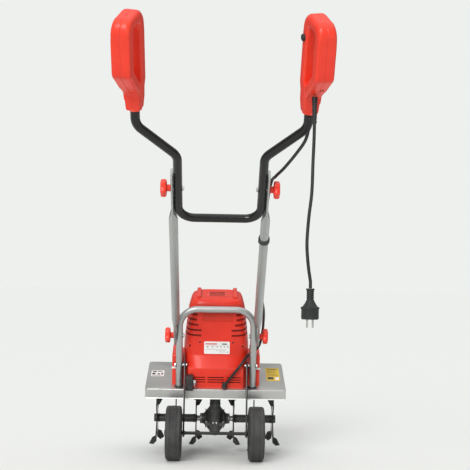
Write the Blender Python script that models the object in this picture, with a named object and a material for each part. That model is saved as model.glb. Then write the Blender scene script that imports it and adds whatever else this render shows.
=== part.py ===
"""Corded electric garden tiller, standing on its wheels and tines.

Metres, +Z up, +Y forwards (away from the person who pushes it), X across.
The frame's origin is on the ground, under the middle of the whole machine.
The chassis is modelled upright about the tine shaft and leans back with its empty.
"""

import math

import bmesh
import bpy
from mathutils import Vector

# Driving dimensions.
FRAME_SHIFT = 0.48475           # from the tine shaft back to the middle of the length
SHAFT_HEIGHT = 0.100
CHASSIS_LEAN = math.radians(16.2)
STAR_PLACES = (0.0591, 0.1234, 0.1823)
STAR_THICKNESS = 0.0035
OUTPUT_SHAFT_RADIUS = 0.0085
HUB_TUBE_RADIUS = 0.0125
WORM_AXIS_Y = -0.0395
GEAR_MODULE = 0.002
GEAR_TEETH = 30
WORM_PITCH_RADIUS = 0.0095
WHEEL_RADIUS = 0.0805
WHEEL_TRACK_HALF = 0.1232
WHEEL_HALF_WIDTH = 0.0235
AXLE_RADIUS = 0.0048
AXLE_Y = -0.1919
GUARD_HALF_WIDTH = 0.2141
GUARD_REAR_Y = -0.1167
GUARD_FRONT_Y = 0.116
GUARD_TOP = 0.1445
GUARD_LIP = 0.028
SHEET = 0.002
BASE_BOTTOM = GUARD_TOP + 0.0003
BASE_TOP = 0.209
COVER_PARTING_Y = -0.0125
COVER_TOP = 0.400
PLASTIC_WALL = 0.003
ARCH_HALF_WIDTH = 0.1115
ARCH_Y = -0.0958
ARCH_TOP = 0.3921
ARCH_CORNER = 0.055
ARCH_RADIUS = 0.010
BRACKET_PIVOT_Z = 0.215
BRACKET_ARM_X = 0.094
BRACKET_ARM_THICKNESS = 0.005
BRACKET_ARM_HALF_WIDTH = 0.012
LOCK_PIN_Z = 0.170
LOWER_PIVOT = Vector((0.0, -0.1783, 0.3704))
UPPER_PIVOT = Vector((0.0, -0.6849, 0.7688))
LOWER_TUBE_RADIUS = 0.012
LOWER_FLAT_X = 0.1255
UPPER_FLAT_X = 0.1224
FLAT_HALF_THICKNESS = 0.0032
FLAT_HALF_WIDTH = 0.0165
UPPER_TUBE_RADIUS = 0.01125
UPPER_ARM_X = 0.1074
CROSSBAR = Vector((0.0, -0.600, 0.6995))
FIRST_BEND = Vector((0.1074, -0.7725, 0.8400))
SECOND_BEND = Vector((0.2057, -0.8506, 0.9035))
GRIP_BASE = Vector((0.2058, -0.8727, 0.9376))
GRIP_LEAN = math.radians(33.0)
GRIP_TOE_OUT = math.radians(14.0)
GRIP_HALF_THICKNESS = 0.0225
TUBE_WALL = 0.0015
BOLT_RADIUS = 0.004
BOLT_HOLE_RADIUS = 0.0045
CLEARANCE = 0.0003
MOTOR_CABLE_RADIUS = 0.004
MAINS_CORD_RADIUS = 0.0038
SIDES = (("left", -1), ("right", 1))


def clear_scene():
    for item in list(bpy.data.objects):
        bpy.data.objects.remove(item, do_unlink=True)


def material(name, colour, roughness, metallic=0.0):
    made = bpy.data.materials.new(name)
    made.use_nodes = True
    shader = made.node_tree.nodes["Principled BSDF"]
    shader.inputs["Base Color"].default_value = (*colour, 1.0)
    shader.inputs["Roughness"].default_value = roughness
    shader.inputs["Metallic"].default_value = metallic
    made.diffuse_color = (*colour, 1.0)
    return made


def empty(name, location, rotation=(0.0, 0.0, 0.0), parent=None):
    """A frame for other pieces; it turns about Z first and about X last."""
    made = bpy.data.objects.new(name, None)
    bpy.context.collection.objects.link(made)
    made.location = location
    made.rotation_mode = "ZYX"
    made.rotation_euler = rotation
    made.parent = parent
    return made


def place(name, mesh_or_curve, look, parent, location=(0.0, 0.0, 0.0), rotation=(0.0, 0.0, 0.0)):
    made = bpy.data.objects.new(name, mesh_or_curve)
    bpy.context.collection.objects.link(made)
    made.data.materials.append(look)
    made.parent = parent
    made.location = location
    made.rotation_euler = rotation
    return made


def skin(rings, closed=False):
    """A mesh over rings of points; a closed skin joins its last ring to its first."""
    shape = bmesh.new()
    rows = [[shape.verts.new(point) for point in ring] for ring in rings]
    count = len(rows[0])
    pairs = list(zip(rows, rows[1:]))
    if closed:
        pairs.append((rows[-1], rows[0]))
    else:
        shape.faces.new(rows[0])
        shape.faces.new(rows[-1])
    for low, high in pairs:
        for index in range(count):
            after = (index + 1) % count
            shape.faces.new((low[index], low[after], high[after], high[index]))
    bmesh.ops.remove_doubles(shape, verts=shape.verts, dist=1e-6)
    bmesh.ops.recalc_face_normals(shape, faces=shape.faces)
    mesh = bpy.data.meshes.new("shape")
    shape.to_mesh(mesh)
    shape.free()
    mesh.shade_smooth()
    mesh.set_sharp_from_angle(angle=math.radians(35.0))
    return mesh


def hide_tool(tool):
    tool.hide_render = True
    tool.display_type = "WIRE"
    tool.hide_set(True)


def combine(piece, operation, mesh, location=(0.0, 0.0, 0.0), rotation=(0.0, 0.0, 0.0)):
    """Adds a shape to a piece or cuts it away, in the piece's own parent frame."""
    tool = bpy.data.objects.new(piece.name + "_tool", mesh)
    bpy.context.collection.objects.link(tool)
    tool.parent = piece.parent
    tool.location = location
    tool.rotation_euler = rotation
    hide_tool(tool)
    change = piece.modifiers.new(operation.lower(), "BOOLEAN")
    change.operation = operation
    change.solver = "EXACT"
    change.object = tool


def circle(radius, count):
    turns = [2.0 * math.pi * index / count for index in range(count)]
    return [(radius * math.cos(turn), radius * math.sin(turn)) for turn in turns]


def oval(half_a, half_b, count, power=2.0):
    """A superellipse: power 2 is an ellipse, more is squarer."""
    points = []
    for index in range(count):
        turn = 2.0 * math.pi * (index + 0.5) / count
        across = math.copysign(abs(math.cos(turn)) ** (2.0 / power), math.cos(turn))
        along = math.copysign(abs(math.sin(turn)) ** (2.0 / power), math.sin(turn))
        points.append((half_a * across, half_b * along))
    return points


def turned(profile, axis="X", count=20, closed=False):
    """A lathe shape from (position along the axis, radius) points."""
    rings = []
    for position, radius in profile:
        if axis == "X":
            rings.append([(position, a, b) for a, b in circle(radius, count)])
        else:
            rings.append([(a, b, position) for a, b in circle(radius, count)])
    return skin(rings, closed)


def bar(start, end, half_a, half_b):
    """A box between two X values, about Y = Z = 0."""
    outline = [(-half_a, -half_b), (half_a, -half_b), (half_a, half_b), (-half_a, half_b)]
    return skin([[(x, a, b) for a, b in outline] for x in (start, end)])


def block(low, high):
    outline = [(low[0], low[1]), (high[0], low[1]), (high[0], high[1]), (low[0], high[1])]
    return skin([[(x, y, z) for x, y in outline] for z in (low[2], high[2])])


def rounded(corners, steps=3):
    """A closed outline from (x, y, radius) corners, with an arc at each corner."""
    points = []
    count = len(corners)
    for index, (x, y, radius) in enumerate(corners):
        here = Vector((x, y))
        before = (Vector(corners[index - 1][:2]) - here).normalized()
        after = (Vector(corners[(index + 1) % count][:2]) - here).normalized()
        half = before.angle(after) / 2.0
        setback = radius / math.tan(half)
        centre = here + (before + after).normalized() * (radius / math.sin(half))
        first = here + before * setback - centre
        last = here + after * setback - centre
        sweep = first.angle_signed(last)
        for step in range(steps + 1):
            turn = -sweep * step / steps
            turned_x = first.x * math.cos(turn) - first.y * math.sin(turn)
            turned_y = first.x * math.sin(turn) + first.y * math.cos(turn)
            points.append((centre.x + turned_x, centre.y + turned_y))
    return points


def shrunk(outline, distance):
    """The outline moved inwards, for an anticlockwise outline."""
    points = []
    count = len(outline)
    for index in range(count):
        here = Vector(outline[index])
        back = (here - Vector(outline[index - 1])).normalized()
        ahead = (Vector(outline[(index + 1) % count]) - here).normalized()
        inward = (Vector((-back.y, back.x)) + Vector((-ahead.y, ahead.x))).normalized()
        reach = distance / max(0.5, inward.dot(Vector((-ahead.y, ahead.x))))
        points.append(tuple(here + inward * reach))
    return points


def bent_path(corners, radius, steps=4):
    """The corners joined by straight runs, with an arc of the radius at each bend."""
    path = [corners[0]]
    for before, here, after in zip(corners, corners[1:], corners[2:]):
        back = (before - here).normalized()
        ahead = (after - here).normalized()
        half = back.angle(ahead) / 2.0
        setback = radius / math.tan(half)
        centre = here + (back + ahead).normalized() * (radius / math.sin(half))
        first = here + back * setback - centre
        last = here + ahead * setback - centre
        sweep = first.angle(last)
        for step in range(steps + 1):
            part = step / steps
            point = (first * math.sin((1.0 - part) * sweep) + last * math.sin(part * sweep)) / math.sin(sweep)
            path.append(centre + point)
    path.append(corners[-1])
    return path


def pipe(path, radius, wall, sides=10):
    """A hollow round tube along a path, open at both ends."""
    rings = {radius: [], radius - wall: []}
    across = None
    for index, point in enumerate(path):
        before = path[max(0, index - 1)]
        after = path[min(len(path) - 1, index + 1)]
        along = (after - before).normalized()
        if across is None:
            across = along.orthogonal().normalized()
        across = (across - along * across.dot(along)).normalized()
        side = along.cross(across)
        for size in rings:
            rings[size].append([point + across * a + side * b for a, b in circle(size, sides)])
    outer, inner = rings.values()
    return skin(outer + inner[::-1], closed=True)


def smooth_route(points, spacing):
    """A Catmull-Rom curve through the points, read at even steps."""
    knots = [points[0] * 2 - points[1]] + points + [points[-1] * 2 - points[-2]]
    route = []
    for a, b, c, d in zip(knots, knots[1:], knots[2:], knots[3:]):
        steps = max(1, round((c - b).length / spacing))
        for step in range(steps):
            t = step / steps
            cubic = (3 * b - a - 3 * c + d) * t ** 3
            square = (2 * a - 5 * b + 4 * c - d) * t ** 2
            route.append((2 * b + (c - a) * t + square + cubic) / 2)
    route.append(points[-1])
    return route


def cable(name, points, radius, look, parent):
    curve = bpy.data.curves.new(name, "CURVE")
    curve.dimensions = "3D"
    curve.bevel_depth = radius
    curve.bevel_resolution = 2
    curve.use_fill_caps = True
    curve.render_resolution_u = 0
    route = smooth_route([Vector(point) for point in points], 6.0 * radius)
    spline = curve.splines.new("POLY")
    spline.points.add(len(route) - 1)
    for knot, point in zip(spline.points, route):
        knot.co = (*point, 1.0)
    return place(name, curve, look, parent)


clear_scene()

RED = material("red_plastic", (0.78, 0.055, 0.025), 0.38)
BLACK_PLASTIC = material("black_plastic", (0.025, 0.025, 0.027), 0.5)
SHEET_GREY = material("guard_paint", (0.42, 0.42, 0.41), 0.45, 0.4)
SILVER = material("silver_paint", (0.36, 0.38, 0.39), 0.35, 0.5)
BLACK_PAINT = material("black_paint", (0.02, 0.02, 0.02), 0.3)
CAST_GREY = material("cast_grey", (0.09, 0.09, 0.09), 0.55, 0.4)
STEEL = material("bare_steel", (0.55, 0.55, 0.55), 0.3, 1.0)
RUBBER = material("wheel_rubber", (0.06, 0.06, 0.06), 0.8)
COPPER = material("copper", (0.70, 0.32, 0.15), 0.35, 1.0)
BRONZE = material("bronze", (0.62, 0.43, 0.18), 0.4, 1.0)
CORD_GREY = material("cord_grey", (0.07, 0.07, 0.075), 0.6)

ROOT = empty("machine", (0.0, FRAME_SHIFT, 0.0))
CHASSIS = empty("chassis", (0.0, 0.0, SHAFT_HEIGHT), (CHASSIS_LEAN, 0.0, 0.0), ROOT)
TINES = empty("tines", (0.0, 0.0, SHAFT_HEIGHT), parent=ROOT)
ARMATURE = empty("armature", (0.0, WORM_AXIS_Y, 0.0), parent=CHASSIS)


# ---------------------------------------------------------------- tine guard
def make_guard():
    """A folded sheet tray, upside down over the tines, with a hole for the worm shaft."""
    corner = 0.010
    outline = rounded([
        (-GUARD_HALF_WIDTH, GUARD_REAR_Y, corner), (GUARD_HALF_WIDTH, GUARD_REAR_Y, corner),
        (GUARD_HALF_WIDTH, GUARD_FRONT_Y, corner), (-GUARD_HALF_WIDTH, GUARD_FRONT_Y, corner)], 3)
    inside = shrunk(outline, SHEET)
    lip_z = GUARD_TOP - GUARD_LIP
    rings = [
        [(x, y, GUARD_TOP - SHEET) for x, y in inside],
        [(x, y, lip_z) for x, y in inside],
        [(x, y, lip_z) for x, y in outline],
        [(x, y, GUARD_TOP - SHEET) for x, y in outline],
        [(x, y, GUARD_TOP) for x, y in inside]]
    guard = place("guard_plate", skin(rings), SHEET_GREY, CHASSIS)
    hole = turned([(GUARD_TOP - 0.01, 0.0125), (GUARD_TOP + 0.01, 0.0125)], "Z")
    combine(guard, "DIFFERENCE", hole, (0.0, WORM_AXIS_Y, 0.0))


# ------------------------------------------------------------------- gearbox
CASE_HALF_LENGTH = 0.0425
CASE_BOTTOM = -0.034
CASE_TOP = GUARD_TOP - SHEET - CLEARANCE


def make_gearbox_half(name, keep_upper):
    """Half of the cast case: a drum round the worm wheel and a tube round the worm."""
    drum = [(-CASE_HALF_LENGTH, 0.0155), (-0.034, 0.0175), (-0.020, 0.034), (-0.014, 0.0395),
            (0.014, 0.0395), (0.020, 0.034), (0.034, 0.0175), (CASE_HALF_LENGTH, 0.0155)]
    case = place(name, turned(drum, "X", 24), CAST_GREY, CHASSIS)
    tube = [(CASE_BOTTOM, 0.0150), (CASE_BOTTOM + 0.003, 0.0165), (CASE_TOP - 0.008, 0.0165),
            (CASE_TOP - 0.008, 0.027), (CASE_TOP, 0.027)]
    combine(case, "UNION", turned(tube, "Z"), (0.0, WORM_AXIS_Y, 0.0))
    chamber = [(-0.0095, 0.0345), (0.0095, 0.0345)]
    combine(case, "DIFFERENCE", turned(chamber, "X", 24))
    worm_room = [(CASE_BOTTOM + 0.004, 0.0125), (CASE_TOP + 0.01, 0.0125)]
    combine(case, "DIFFERENCE", turned(worm_room, "Z"), (0.0, WORM_AXIS_Y, 0.0))
    shaft_room = [(-0.05, 0.0092), (0.05, 0.0092)]
    combine(case, "DIFFERENCE", turned(shaft_room, "X"))
    half_gap = CLEARANCE / 2.0
    if keep_upper:
        waste = block((-0.06, -0.07, -0.06), (0.06, 0.06, half_gap))
    else:
        waste = block((-0.06, -0.07, -half_gap), (0.06, 0.06, 0.2))
    combine(case, "DIFFERENCE", waste)


def make_bearing_cap(side_name, side):
    inner = side * (CASE_HALF_LENGTH + CLEARANCE)
    outer = side * (CASE_HALF_LENGTH + 0.0045)
    profile = [(inner, 0.0092), (outer, 0.0092), (outer, 0.0150), (inner, 0.0165)]
    place("bearing_cap_" + side_name, turned(profile, "X", closed=True), STEEL, CHASSIS)


# --------------------------------------------------------- tines and worm drive
def gear_ring(x, twist):
    """One section of the worm wheel: four points for each tooth."""
    pitch_radius = GEAR_MODULE * GEAR_TEETH / 2.0
    tip = pitch_radius + 0.0015
    root = pitch_radius - 0.0022
    ring = []
    for tooth in range(GEAR_TEETH):
        middle = math.pi + 2.0 * math.pi * tooth / GEAR_TEETH + twist
        for radius, half_width in ((root, -0.0019), (tip, -0.0007), (tip, 0.0007), (root, 0.0019)):
            turn = middle + half_width / radius
            ring.append((x, radius * math.cos(turn), radius * math.sin(turn)))
    return ring


def make_worm_wheel():
    half_width = 0.006
    lead = GEAR_MODULE / (2.0 * WORM_PITCH_RADIUS)
    pitch_radius = GEAR_MODULE * GEAR_TEETH / 2.0
    rings = []
    for step in (-1.0, 1.0):
        x = half_width * step
        rings.append(gear_ring(x, x * lead / pitch_radius))
    bore = circle(OUTPUT_SHAFT_RADIUS + CLEARANCE, GEAR_TEETH * 4)
    start = GEAR_TEETH * 2
    bore = bore[start:] + bore[:start]
    rings.append([(half_width, a, b) for a, b in bore])
    rings.append([(-half_width, a, b) for a, b in bore])
    place("worm_wheel", skin(rings, closed=True), BRONZE, CHASSIS)


def make_armature_shaft():
    """The motor shaft with a single-start worm cut near its lower end."""
    pitch = math.pi * GEAR_MODULE
    count = 10
    shaft_radius = 0.0072

    def worm_radius(turn, z):
        phase = (z / pitch - (turn / (2.0 * math.pi) - 0.25)) % 1.0
        from_thread = abs(phase - 0.5) * pitch
        rise = (0.0011 - from_thread) / math.tan(math.radians(20.0))
        return WORM_PITCH_RADIUS + max(-0.0021, min(0.0015, rise))

    heights = [(-0.0295, None), (-0.0140, None)]
    steps = round(0.026 / (pitch / count))
    for step in range(steps + 1):
        heights.append((-0.013 + step * pitch / count, "worm"))
    heights += [(0.0145, None), (0.345, None)]
    rings = []
    for z, kind in heights:
        ring = []
        for index in range(count):
            turn = 2.0 * math.pi * index / count
            radius = worm_radius(turn, z) if kind else shaft_radius
            ring.append((radius * math.cos(turn), radius * math.sin(turn), z))
        rings.append(ring)
    place("armature_shaft", skin(rings), STEEL, ARMATURE)


def star_mesh(first_bend):
    """A four-armed blade of flat plate; each pointed tip is folded aside by turns."""
    bore = HUB_TUBE_RADIUS + CLEARANCE
    half_arm = 0.0135
    crease = 0.0770
    fold = math.radians(45.0)
    shape = bmesh.new()

    def corner(quarter, along, across, x):
        turn = quarter * math.pi / 2.0
        y = along * math.cos(turn) - across * math.sin(turn)
        return shape.verts.new((x, y, along * math.sin(turn) + across * math.cos(turn)))

    eyes, edges = [], []
    for face in (-1, 1):
        offset = face * STAR_THICKNESS / 2.0
        eye, rim, edge = [], [], []
        for quarter in range(4):
            sign = first_bend * (-1) ** quarter
            creased = crease - sign * offset * math.tan(fold / 2.0)
            plan = ((0.0300, -half_arm), (crease, -half_arm), (crease, half_arm), (0.0300, half_arm),
                    (0.0225, 0.0225))
            for along, across in plan:
                turn = math.atan2(across, along)
                eye.append(corner(quarter, bore * math.cos(turn), bore * math.sin(turn), offset))
                rim.append(corner(quarter, creased if along == crease else along, across, offset))
            tip = []
            for past, across in ((0.0025, -half_arm), (0.0160, -0.0175), (0.0307, 0.0),
                                 (0.0160, 0.0175), (0.0025, half_arm)):
                along = crease + past * math.cos(fold) - sign * offset * math.sin(fold)
                tip.append(corner(quarter, along, across, sign * past * math.sin(fold) + offset * math.cos(fold)))
            first, second = rim[-4], rim[-3]
            shape.faces.new([first] + tip + [second])
            edge += [rim[-5], first] + tip + [second, rim[-2], rim[-1]]
        for index in range(len(eye)):
            shape.faces.new((eye[index - 1], eye[index], rim[index], rim[index - 1]))
        eyes.append(eye)
        edges.append(edge)
    for near, far in (eyes, edges):
        for index in range(len(near)):
            shape.faces.new((near[index - 1], near[index], far[index], far[index - 1]))
    bmesh.ops.recalc_face_normals(shape, faces=shape.faces)
    mesh = bpy.data.meshes.new("star")
    shape.to_mesh(mesh)
    shape.free()
    return mesh


def make_tines():
    shaft = [(-0.190, OUTPUT_SHAFT_RADIUS), (0.190, OUTPUT_SHAFT_RADIUS)]
    place("tine_shaft", turned(shaft, "X"), STEEL, TINES)
    make_worm_wheel()
    inner = OUTPUT_SHAFT_RADIUS + CLEARANCE
    for side_name, side in SIDES:
        start = side * 0.0560
        end = side * 0.1920
        tube = [(start, inner), (end, inner), (end, HUB_TUBE_RADIUS), (start, HUB_TUBE_RADIUS)]
        place("tine_hub_" + side_name, turned(tube, "X", closed=True), BLACK_PAINT, TINES)
        for number, distance in enumerate(STAR_PLACES, 1):
            middle = number == 2
            bend = -side if middle else side
            turn = math.radians(90.0 if middle else 45.0)
            name = "tine_star_%s_%d" % (side_name, number)
            place(name, star_mesh(bend), BLACK_PAINT, TINES, (side * distance, 0.0, 0.0), (turn, 0.0, 0.0))


# --------------------------------------------------------------------- motor
def paddle_outline(blades, tip, root):
    points = []
    for blade in range(blades):
        middle = 2.0 * math.pi * blade / blades
        for radius, half in ((root, -0.0045), (tip, -0.0016), (tip, 0.0016), (root, 0.0045)):
            turn = middle + half / radius
            points.append((radius * math.cos(turn), radius * math.sin(turn)))
    return points


def make_motor_inside():
    bore = 0.0072 + CLEARANCE
    plate = [(BASE_BOTTOM, 0.0085), (BASE_BOTTOM, 0.046), (0.1510, 0.046), (0.1510, 0.0085)]
    place("motor_adapter", turned(plate, "Z", 24, closed=True), CAST_GREY, ARMATURE)
    ring = [(0.1513, bore), (0.1513, 0.0165), (0.1590, 0.0165), (0.1590, bore)]
    place("motor_bearing", turned(ring, "Z", closed=True), STEEL, ARMATURE)
    stack = [(0.212, 0.0270), (0.212, 0.0415), (0.302, 0.0415), (0.302, 0.0270)]
    place("stator", turned(stack, "Z", 24, closed=True), CAST_GREY, ARMATURE)
    core = [(0.196, bore), (0.196, 0.016), (0.206, 0.0255), (0.292, 0.0255), (0.300, 0.016), (0.300, bore)]
    place("armature_core", turned(core, "Z", 20, closed=True), COPPER, ARMATURE)
    bars = [(0.304, bore), (0.304, 0.0140), (0.324, 0.0140), (0.324, bore)]
    place("commutator", turned(bars, "Z", 20, closed=True), COPPER, ARMATURE)
    blades = paddle_outline(9, 0.034, 0.013)
    eye = circle(bore, len(blades))
    rings = [[(x, y, z) for x, y in blades] for z in (0.168, 0.186)]
    rings += [[(x, y, z) for x, y in eye] for z in (0.186, 0.168)]
    place("cooling_fan", skin(rings, closed=True), BLACK_PLASTIC, ARMATURE)


COVER_SECTIONS = (
    # height, half width, depth of the rear half, depth of the front half
    (BASE_TOP + CLEARANCE, 0.0935, 0.0935, 0.0880),
    (0.2450, 0.0985, 0.0755, 0.0800),
    (0.2700, 0.0985, 0.0750, 0.0770),
    (0.3200, 0.0930, 0.0730, 0.0730),
    (0.3730, 0.0862, 0.0700, 0.0690),
    (COVER_TOP, 0.0790, 0.0660, 0.0640))


def half_shell_ring(half_width, depth, facing, z):
    """A C-shaped section of a cover: its outer curve out and its inner curve back."""
    steps = 13
    curves = []
    for inset in (0.0, PLASTIC_WALL):
        curve = []
        for step in range(steps):
            turn = math.pi * step / (steps - 1)
            across = math.copysign(abs(math.cos(turn)) ** 0.45, math.cos(turn))
            back = math.sin(turn) ** 0.45
            x = (half_width - inset) * across
            y = COVER_PARTING_Y + facing * (CLEARANCE / 2.0 + (depth - inset) * back)
            curve.append((x, y, z))
        curves.append(curve)
    return curves[0] + curves[1][::-1]


def make_motor_covers():
    rear = [half_shell_ring(width, back, -1, z) for z, width, back, front in COVER_SECTIONS]
    front = [half_shell_ring(width, ahead, 1, z) for z, width, back, ahead in COVER_SECTIONS]
    place("motor_cover_rear", skin(rear), RED, CHASSIS)
    place("motor_cover_front", skin(front), RED, CHASSIS)


def make_motor_base():
    """The foot of the housing, with a high shoulder outside each leg of the frame."""
    rear_y = -0.106
    waist_y = -0.0815
    shoulder_x = 0.134
    outline = rounded([
        (-0.0865, rear_y, 0.010), (0.0865, rear_y, 0.010), (0.0865, waist_y, 0.002),
        (shoulder_x, waist_y, 0.004), (shoulder_x, 0.050, 0.020), (0.095, 0.088, 0.020),
        (-0.095, 0.088, 0.020), (-shoulder_x, 0.050, 0.020), (-shoulder_x, waist_y, 0.004),
        (-0.0865, waist_y, 0.002)], 2)
    inside = shrunk(outline, PLASTIC_WALL)
    mouth = []
    for x, y in outline:
        turn = math.atan2(y - COVER_PARTING_Y, x)
        mouth.append((0.074 * math.cos(turn), COVER_PARTING_Y + 0.070 * math.sin(turn)))
    rings = [
        [(x, y, BASE_BOTTOM) for x, y in outline],
        [(x, y, BASE_TOP) for x, y in outline],
        [(x, y, BASE_TOP) for x, y in mouth],
        [(x, y, BASE_TOP - PLASTIC_WALL) for x, y in mouth],
        [(x, y, BASE_TOP - PLASTIC_WALL) for x, y in inside],
        [(x, y, BASE_BOTTOM) for x, y in inside]]
    base = place("motor_base", skin(rings, closed=True), RED, CHASSIS)
    for side_name, side in SIDES:
        low = (min(side * 0.105, side * shoulder_x), waist_y + 0.0002, BASE_TOP - 0.002)
        high = (max(side * 0.105, side * shoulder_x), 0.030, 0.241)
        combine(base, "UNION", block(low, high))


def make_top_cap():
    """The lid of the motor housing, with a raised ridge at each side."""
    base_y = COVER_PARTING_Y
    levels = ((0.408, 0.066, 0.052), (COVER_TOP + CLEARANCE, 0.0745, 0.0605),
              (COVER_TOP + CLEARANCE, 0.0785, 0.0640), (0.410, 0.0740, 0.0600), (0.4165, 0.0620, 0.0480))
    rings = []
    for z, width, depth in levels:
        rings.append([(x, base_y + y, z) for x, y in oval(width, depth, 28, 4.5)])
    cap = place("motor_top_cap", skin(rings), RED, CHASSIS)
    for side_name, side in SIDES:
        ridge = bar(-0.006, 0.006, 0.044, 0.0065)
        combine(cap, "UNION", ridge, (side * 0.055, base_y, 0.4170))


# ------------------------------------------------------- frame round the motor
def make_arch():
    foot = BASE_BOTTOM
    corners = [Vector((x, ARCH_Y, z)) for x, z in (
        (-ARCH_HALF_WIDTH, foot), (-ARCH_HALF_WIDTH, ARCH_TOP),
        (ARCH_HALF_WIDTH, ARCH_TOP), (ARCH_HALF_WIDTH, foot))]
    arch = place("arch_frame", pipe(bent_path(corners, ARCH_CORNER), ARCH_RADIUS, TUBE_WALL), SILVER, CHASSIS)
    for side_name, side in SIDES:
        for height in (BRACKET_PIVOT_Z, lower_pivot_height()):
            hole = turned([(-0.02, BOLT_HOLE_RADIUS), (0.02, BOLT_HOLE_RADIUS)], "X", 12)
            combine(arch, "DIFFERENCE", hole, (side * ARCH_HALF_WIDTH, ARCH_Y, height))


def lower_pivot_height():
    """The lower handle pivot's height in the chassis frame."""
    rise = LOWER_PIVOT.z - SHAFT_HEIGHT
    return rise * math.cos(CHASSIS_LEAN) - LOWER_PIVOT.y * math.sin(CHASSIS_LEAN)


def bolt(name, side, head, face, end, parent, centre):
    """A bolt along X: a head from |x| head to |x| face, then a shank to |x| end."""
    profile = [(side * head, 0.0070), (side * face, 0.0070),
               (side * face, BOLT_RADIUS), (side * end, BOLT_RADIUS)]
    place(name, turned(profile, "X", 12), STEEL, parent, centre)


def make_chassis_bolts():
    for side_name, side in SIDES:
        inner = BRACKET_ARM_X - BRACKET_ARM_THICKNESS / 2.0 - 0.002
        outer = ARCH_HALF_WIDTH + ARCH_RADIUS + CLEARANCE
        bolt("pivot_bolt_" + side_name, side, outer + 0.004, outer, inner, CHASSIS,
             (0.0, ARCH_Y, BRACKET_PIVOT_Z))
        inner = ARCH_HALF_WIDTH - ARCH_RADIUS - CLEARANCE
        bolt("lower_bolt_" + side_name, side, inner - 0.0045, inner, 0.1390, CHASSIS,
             (0.0, ARCH_Y, lower_pivot_height()))


# ----------------------------------------------------------------- wheel bracket
def to_chassis(y, z):
    """A point of the machine's side view in the chassis frame."""
    rise = z - SHAFT_HEIGHT
    return (y * math.cos(CHASSIS_LEAN) + rise * math.sin(CHASSIS_LEAN),
            rise * math.cos(CHASSIS_LEAN) - y * math.sin(CHASSIS_LEAN))


def make_wheel_bracket():
    axle_y, axle_z = to_chassis(AXLE_Y, WHEEL_RADIUS)
    drop = Vector((axle_y - ARCH_Y, axle_z - BRACKET_PIVOT_Z))
    length = drop.length
    swing = math.atan2(-drop.y, drop.x) - math.pi / 2.0
    pivot = empty("bracket_pivot", (0.0, ARCH_Y, BRACKET_PIVOT_Z), (-swing, 0.0, 0.0), CHASSIS)
    end = BRACKET_ARM_HALF_WIDTH
    outline = rounded([(-end, -length - end, 0.0115), (end, -length - end, 0.0115),
                       (end, end, 0.0115), (-end, end, 0.0115)], 5)
    for side_name, side in SIDES:
        faces = [side * BRACKET_ARM_X - BRACKET_ARM_THICKNESS / 2.0,
                 side * BRACKET_ARM_X + BRACKET_ARM_THICKNESS / 2.0]
        arm = place("bracket_arm_" + side_name,
                    skin([[(x, y, z) for y, z in outline] for x in faces]), BLACK_PAINT, pivot)
        for height, radius in ((0.0, BOLT_HOLE_RADIUS), (-length, AXLE_RADIUS + CLEARANCE)):
            hole = turned([(-0.01, radius), (0.01, radius)], "X", 12)
            combine(arm, "DIFFERENCE", hole, (side * BRACKET_ARM_X, 0.0, height))
    cap = WHEEL_TRACK_HALF + WHEEL_HALF_WIDTH + 0.0006
    axle = [(-cap - 0.004, 0.009), (-cap, 0.009), (-cap, AXLE_RADIUS),
            (cap, AXLE_RADIUS), (cap, 0.009), (cap + 0.004, 0.009)]
    place("wheel_axle", turned(axle, "X", 16), BLACK_PAINT, ROOT, (0.0, AXLE_Y, WHEEL_RADIUS))


def make_wheels():
    """Moulded wheels: a hub, a recessed web and a broad tread."""
    half = WHEEL_HALF_WIDTH
    rim = [(half, AXLE_RADIUS + CLEARANCE), (half, 0.013), (0.007, 0.017), (0.007, 0.056),
           (half - 0.003, 0.061), (half, 0.068), (half - 0.0015, 0.0770), (half - 0.006, WHEEL_RADIUS)]
    profile = rim + [(-x, radius) for x, radius in rim[::-1]]
    for side_name, side in SIDES:
        place("wheel_" + side_name, turned(profile, "X", 24, closed=True), RUBBER, ROOT,
              (side * WHEEL_TRACK_HALF, AXLE_Y, WHEEL_RADIUS))


def make_lock():
    """The plunger that holds the wheel bracket, in its block on the guard."""
    part_way = (BRACKET_PIVOT_Z - LOCK_PIN_Z) / (BRACKET_PIVOT_Z - to_chassis(AXLE_Y, WHEEL_RADIUS)[1])
    pin_y = ARCH_Y + part_way * (to_chassis(AXLE_Y, WHEEL_RADIUS)[0] - ARCH_Y)
    arm_face = -BRACKET_ARM_X + BRACKET_ARM_THICKNESS / 2.0
    body = block((arm_face + 0.0015, pin_y - 0.012, BASE_BOTTOM), (-0.0685, -0.1068, 0.190))
    holder = place("lock_block", body, BLACK_PLASTIC, CHASSIS)
    bore = turned([(-0.10, 0.0034), (-0.06, 0.0034)], "X", 12)
    combine(holder, "DIFFERENCE", bore, (0.0, pin_y, LOCK_PIN_Z))
    profile = [(arm_face + CLEARANCE, 0.0030), (-0.0670, 0.0030), (-0.0670, 0.0065), (-0.0600, 0.0065)]
    place("lock_pin", turned(profile, "X", 12), STEEL, CHASSIS, (0.0, pin_y, LOCK_PIN_Z))


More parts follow.
